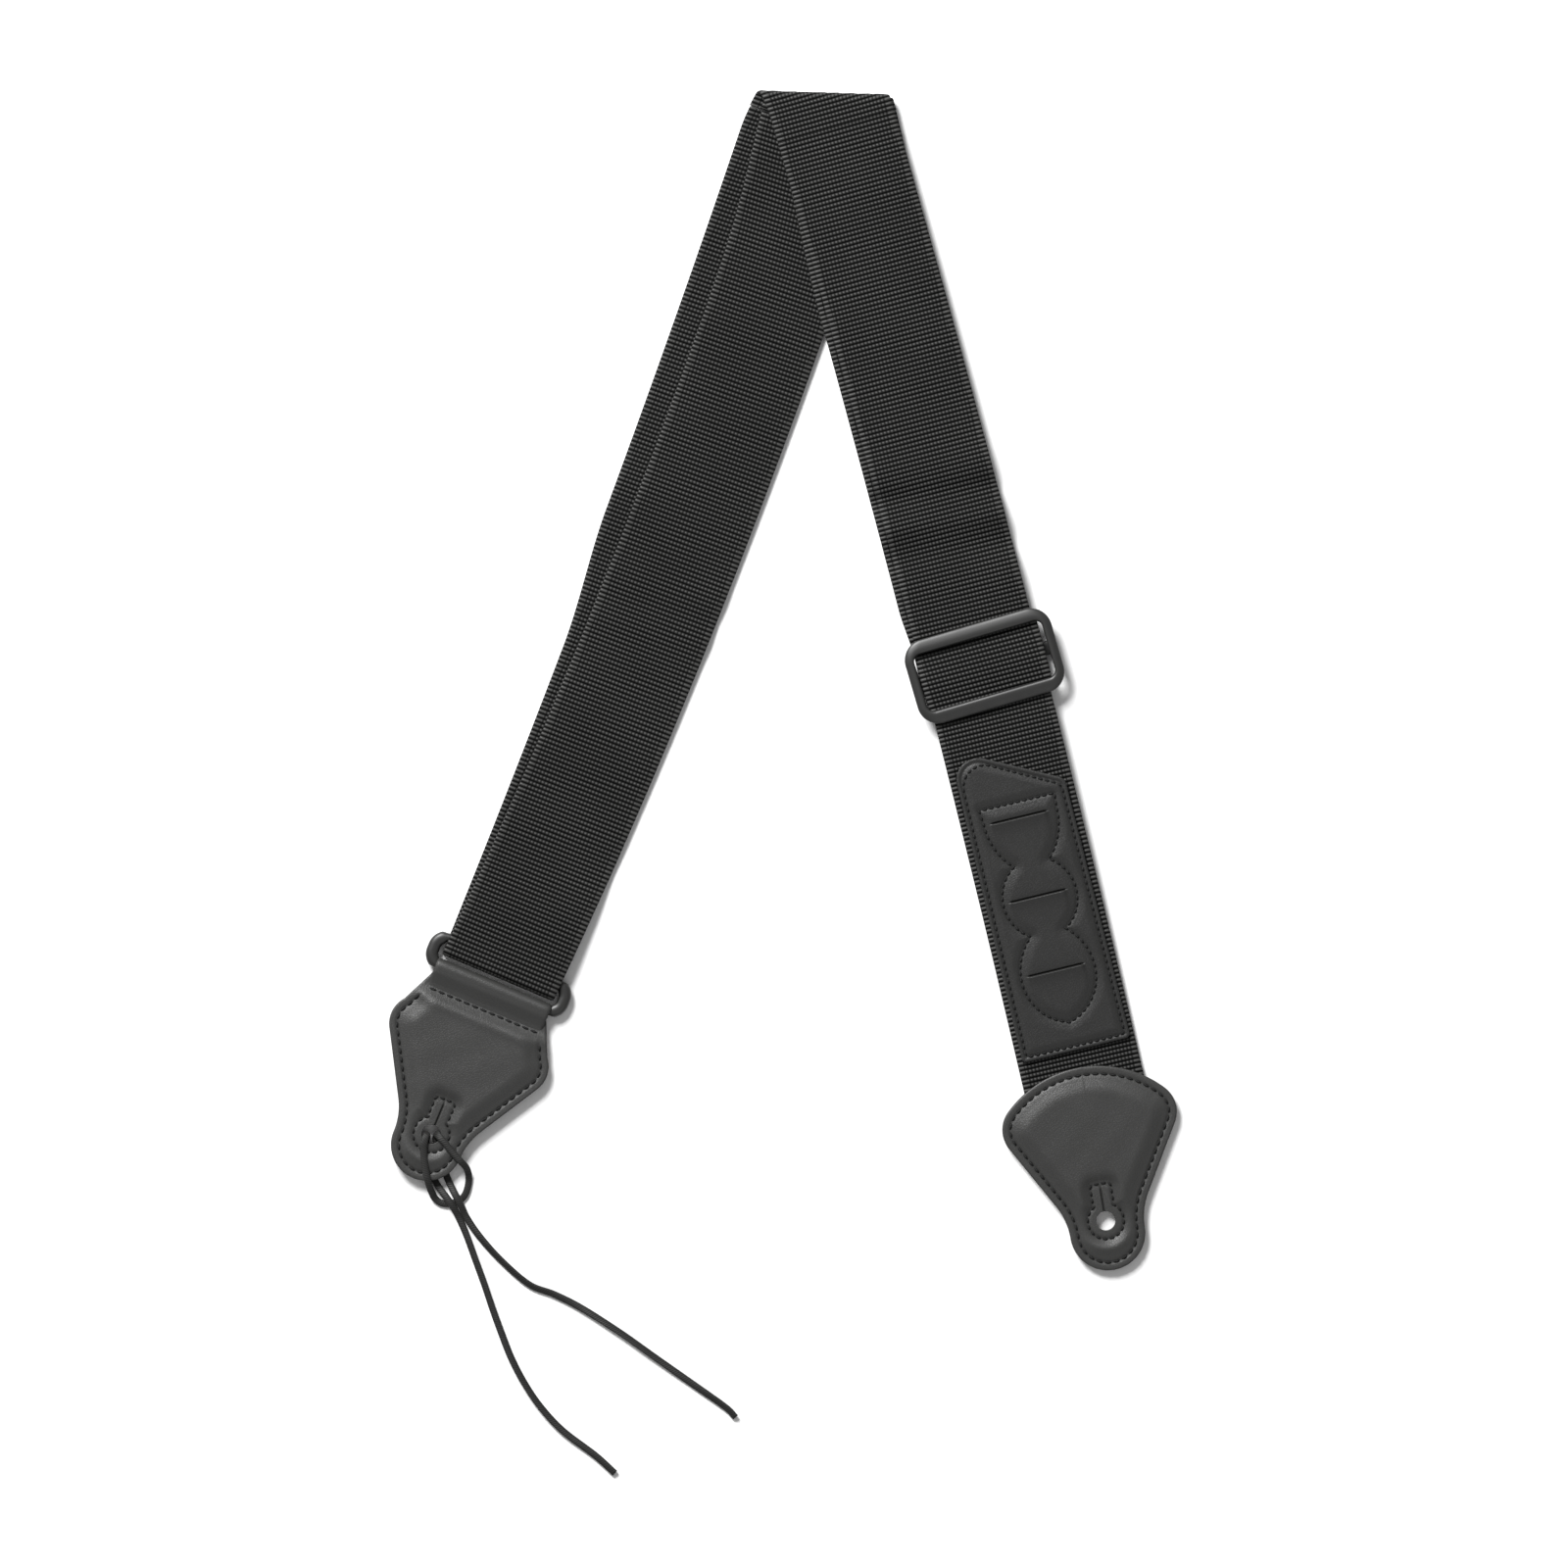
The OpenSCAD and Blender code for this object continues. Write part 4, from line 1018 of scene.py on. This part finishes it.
SLITS, SLIT_HALF = (41.6, 73.2, 106.7), 12.2
SLIT_SIDE = PATCH_SIDE - 0.5
POCKET_W, POCKET_NOTCH, POCKET_TOP, POCKET_TIP = 15.5, 7.5, 113.2, 19.2
NOTCHES = (87.2, 57.6)
BULGES = (106.6, 72.5, 39.8)


def bulge(a0, c0, a1, c1):
    """An arc that leaves (c0, a0) straight along the patch and reaches (c1, a1)."""
    d, s = abs(a1 - a0), c0 - c1
    r = (d * d + s * s) / (2 * s)
    t = np.linspace(0, 1, 12)
    return np.stack([c0 - r + np.sqrt(r * r - (d * t) ** 2), a0 + (a1 - a0) * t], -1)


pocket_right = np.vstack([
    [[POCKET_W + 0.5, POCKET_TOP]],
    bulge(BULGES[0], POCKET_W, NOTCHES[0], POCKET_NOTCH),
    bulge(BULGES[1], POCKET_W, NOTCHES[0], POCKET_NOTCH)[::-1],
    bulge(BULGES[1], POCKET_W, NOTCHES[1], POCKET_NOTCH),
    bulge(BULGES[2], POCKET_W, NOTCHES[1], POCKET_NOTCH)[::-1],
    bulge(BULGES[2], POCKET_W, POCKET_TIP, 0)])
pockets = np.vstack([pocket_right, pocket_right[::-1] * [-1, 1], pocket_right[:1]]) + [PATCH_SIDE, 0]
patch_ring = np.vstack([patch_outline(0.0), patch_outline(0.0)[:1]])
patch_seam = np.vstack([patch_outline(2.0), patch_outline(2.0)[:1]])


def patch_top(c, a):
    """The patch's face: a rolled edge, grooves under the stitching, swollen pockets, and slits whose
    lower lips stand open."""
    edge = distance_to(patch_ring, c, a)
    pocket = distance_to(pockets, c, a)
    reach = np.interp(a, pocket_right[::-1, 1], pocket_right[::-1, 0])
    inside = (np.abs(c - PATCH_SIDE) < reach) & (a > POCKET_TIP) & (a < POCKET_TOP)
    z = 0.55 * np.where(inside, smooth(pocket / 5), smooth(pocket / 4) * smooth((edge - 2.4) / 3) * 0.7)
    z = z - 0.32 * bell(pocket, 0, 0.6) - 0.3 * bell(edge, 2.0, 0.6)
    z = z - 0.4 * np.clip(1 - edge / 0.7, 0, 1) ** 2
    for at in SLITS:
        width = smooth((SLIT_HALF - np.abs(c - SLIT_SIDE)) / 1.5)
        below = at - a
        z = z + width * np.where(below > 0, 0.85 * np.exp(-below / 3.0), -0.3 * np.exp(below / 2.0))
        z = z - 1.2 * width * bell(a, at, 0.33)
    return PATCH_T + z


def pick_patch():
    """The patch as rows across it, from its left edge to its right one at each height; rows crowd
    together at the slits."""
    outline, _, _ = evenly(patch_ring, 1600)
    top = patch_outline(0.0)[:, 1].max()
    rows = [np.linspace(PATCH_FOOT + 0.01, top - 0.02, 270)]
    rows += [np.linspace(at - 1.0, at + 1.0, 17) for at in SLITS]
    rows.append(np.linspace(PATCH_FOOT + 0.01, PATCH_FOOT + 2.5, 14))
    a = np.unique(np.round(np.concatenate(rows), 3))
    apex = outline[outline[:, 1].argmax(), 0]
    left = outline[outline[:, 0] < np.where(outline[:, 1] > 60, apex, PATCH_SIDE)]
    right = outline[outline[:, 0] >= np.where(outline[:, 1] > 60, apex, PATCH_SIDE)]
    left, right = left[left[:, 1].argsort()], right[right[:, 1].argsort()]
    low, high = np.interp(a, left[:, 1], left[:, 0]), np.interp(a, right[:, 1], right[:, 0])
    t = (1 - np.cos(np.linspace(0, np.pi, 84))) / 2 * 0.5 + np.linspace(0, 1, 84) * 0.5
    c = low[:, None] + (high - low)[:, None] * t[None]
    rows_a = np.broadcast_to(a[:, None], c.shape)
    z = patch_top(c, rows_a)
    c = np.hstack([c, c[:, [-1, 42, 0]]])
    rows_a = np.hstack([rows_a, rows_a[:, [-1, 42, 0]]])
    z = np.hstack([z, np.zeros((len(a), 3))])
    obj = mesh_of("pick_holder", on_slope(c, rows_a, z), tube_faces(len(a), c.shape[1]))
    return finish_piece(obj, PATCH_HIDE, body="strap_front", nodes=["pick_holder_patch"])


pick_patch()
stitching("pick_holder_edge_stitches", [(patch_seam, PATCH_PITCH)], on_slope, patch_top, "strap_front",
          ["pick_holder_edge_stitching"])
stitching("pick_pocket_stitches", [(pockets, PATCH_PITCH)], on_slope, patch_top, "strap_front",
          ["pick_pocket_stitching"])


# ---------------------------------------------------------------- slider and ring
def rim_sweep(outer, inner, z_mid, half_t, to_frame, power, slope=0.0, count=16):
    """Points of a closed frame bar between matching outer and inner rings: at each place a
    superellipse across the bar, of the given power, whose faces fall outward by the slope."""
    angle = np.linspace(0, 2 * np.pi, count, endpoint=False)
    x = np.sign(np.cos(angle)) * np.abs(np.cos(angle)) ** power
    y = np.sign(np.sin(angle)) * np.abs(np.sin(angle)) ** power
    mid, reach = (outer + inner) / 2, (outer - inner) / 2
    plan = mid[:, None] + reach[:, None] * x[None, :, None]
    z = z_mid + half_t * (y * (1 - slope * x))[None, :] * np.ones((len(outer), 1))
    return to_frame(plan[..., 0], plan[..., 1], z)


def frame_ring(width, length, radius, count, per_side):
    """A rounded rectangle as one ring of points, with extra points along its sides."""
    corners = rounded([(width / 2, length / 2, radius), (-width / 2, length / 2, radius),
                       (-width / 2, -length / 2, radius), (width / 2, -length / 2, radius)], count)
    blocks = np.split(corners, 4)
    t = np.linspace(0, 1, per_side + 2)[1:-1, None]
    joined = [np.vstack([b, b[-1] * (1 - t) + blocks[(i + 1) % 4][0] * t]) for i, b in enumerate(blocks)]
    return np.vstack(joined)


def bar(profile_w, profile_t, z_mid, a_mid, half_length, to_frame, count=14):
    """A rounded bar across the slider: a superellipse section, domed a little at both ends."""
    angle = np.linspace(0, 2 * np.pi, count, endpoint=False)
    x = np.sign(np.cos(angle)) * np.abs(np.cos(angle)) ** 0.6 * profile_w / 2
    y = np.sign(np.sin(angle)) * np.abs(np.sin(angle)) ** 0.6 * profile_t / 2
    c = np.array([-1, -0.995, -0.98, 0.98, 0.995, 1]) * half_length
    size = np.array([0.7, 0.9, 1, 1, 0.9, 0.7])[:, None]
    return to_frame(np.broadcast_to(c[:, None], (6, count)), a_mid + size * x, z_mid + size * y)


def join_shells(name, shells):
    """One mesh from several closed point grids: (grid, closes on itself)."""
    points, faces, start = [], [], 0
    for grid, closes in shells:
        rows, ring = grid.shape[:2]
        if closes:
            faces += grid_faces(rows, ring, wrap_rows=True, start=start)
        else:
            faces += tube_faces(rows, ring, start)
        points.append(grid.reshape(-1, 3))
        start += rows * ring
    return mesh_of(name, np.vstack(points), faces)


SLIDER_W, SLIDER_L, BAR_W, ARM_W, BAR_T, OVER_Z = 63.0, 36.0, 5.9, 3.9, 2.4, 6.7
ARM_LOW, SLIDER_R, TOP_SLOPE = 1.6, 9.0, 0.4
at_slider = lay(SLIDER_MID, SLIDER_LEAN)
slider_outer = frame_ring(SLIDER_W, SLIDER_L, SLIDER_R, 12, 10)
slider_inner = frame_ring(SLIDER_W - 2 * ARM_W, SLIDER_L - 2 * BAR_W, 3.0, 12, 10)
slider_rim = rim_sweep(slider_outer, slider_inner, OVER_Z + BAR_T / 2, BAR_T / 2, at_slider, 0.75, TOP_SLOPE)
slider_shells = [(slider_rim, True),
                 (bar(6.0, 2.0, CORE_Z, 0.0, 29.0, at_slider), False)]


def arm_points(side):
    """A side arm: a rounded upright plate from the centre bar's level up to the outer frame."""
    t = np.linspace(0, 2 * np.pi, 28, endpoint=False)
    c = side * (SLIDER_W - ARM_W) / 2 + np.sign(np.cos(t)) * np.abs(np.cos(t)) ** 0.5 * (ARM_W / 2 - 0.1)
    a = np.sign(np.sin(t)) * np.abs(np.sin(t)) ** 0.5 * SLIDER_L / 4
    z = np.array([ARM_LOW, ARM_LOW + 0.3, OVER_Z, OVER_Z + 1.2])
    shrink = np.array([0.9, 1, 1, 1])[:, None]
    mid = side * (SLIDER_W - ARM_W) / 2
    return at_slider(mid + (c - mid)[None] * shrink, a[None] * shrink, z[:, None] + 0 * a[None])


slider_shells += [(arm_points(side), False) for side in (-1, 1)]
finish_piece(join_shells("tri_glide", slider_shells), SLIDER, body="slider",
             nodes=["tri_glide_slider"])
stitching("slider_loop_stitches", [([[-22, y], [20, y]], 4.0) for y in (17.0, 25.0)], at_slider,
          lambda c, a: UNDER_MID - 1.5 * WEB_T - 0.45 + 0 * c, "slider", ["slider_loop_stitching"])

RING_PITCH, ROD_R, END_W = 12.2, 1.8, 5.2
ring_frame = lay(RING_BAR - RING_PITCH / 2 * up(RING_LEAN), RING_LEAN)
ring_mid = frame_ring(53.0 + END_W, RING_PITCH, 5.1, 16, 24)
ring_way = np.roll(ring_mid, -1, 0) - np.roll(ring_mid, 1, 0)
ring_out = np.stack([ring_way[:, 1], -ring_way[:, 0]], -1) / np.linalg.norm(ring_way, axis=1)[:, None]
ring_half = ROD_R + (END_W / 2 - ROD_R) * smooth((np.abs(ring_mid[:, 0]) - 25.4) / 1.6)
ring_grid = rim_sweep(ring_mid + ring_out * ring_half[:, None], ring_mid - ring_out * ring_half[:, None],
                      BAR_Z, ROD_R, ring_frame, 0.9)
strap_ring = join_shells("strap_ring", [(ring_grid, True)])
finish_piece(strap_ring, RING, body="ring", nodes=["ring"])


# ---------------------------------------------------------------- floor and light
def floor():
    """A pale, plain floor that fills every view."""
    mesh = bpy.data.meshes.new("floor")
    mesh.from_pydata([(-6, -6, 0), (6, -6, 0), (6, 6, 0), (-6, 6, 0)], [], [(0, 1, 2, 3)])
    obj = bpy.data.objects.new("floor", mesh)
    obj.location.z = -0.0002
    bpy.context.scene.collection.objects.link(obj)
    made, tree, shader = new_material("pale_floor", Roughness=0.9, Specular_IOR_Level=0.1)
    shader.inputs["Base Color"].default_value = (0.9, 0.9, 0.9, 1)
    mesh.materials.append(made)


def area_light(name, place, target, size, power):
    """A soft square light that faces a point."""
    lamp = bpy.data.lights.new(name, "AREA")
    lamp.size = size
    lamp.energy = power
    obj = bpy.data.objects.new(name, lamp)
    obj.location = place
    way = np.array(place, float) - np.array(target, float)
    flat = math.hypot(way[0], way[1])
    obj.rotation_euler = (math.atan2(flat, way[2]), 0, math.atan2(way[0], -way[1]) if flat else 0)
    bpy.context.scene.collection.objects.link(obj)


floor()
CENTRE = (-0.13, 0.18, 0)
area_light("key", (-0.95, 1.6, 1.5), CENTRE, 0.8, 92)
area_light("fill", (0.5, -1.2, 2.0), CENTRE, 1.6, 5)
world = bpy.data.worlds.new("studio")
world.use_nodes = True
world.node_tree.nodes["Background"].inputs["Color"].default_value = (1, 1, 1, 1)
world.node_tree.nodes["Background"].inputs["Strength"].default_value = 0.3
bpy.context.scene.world = world
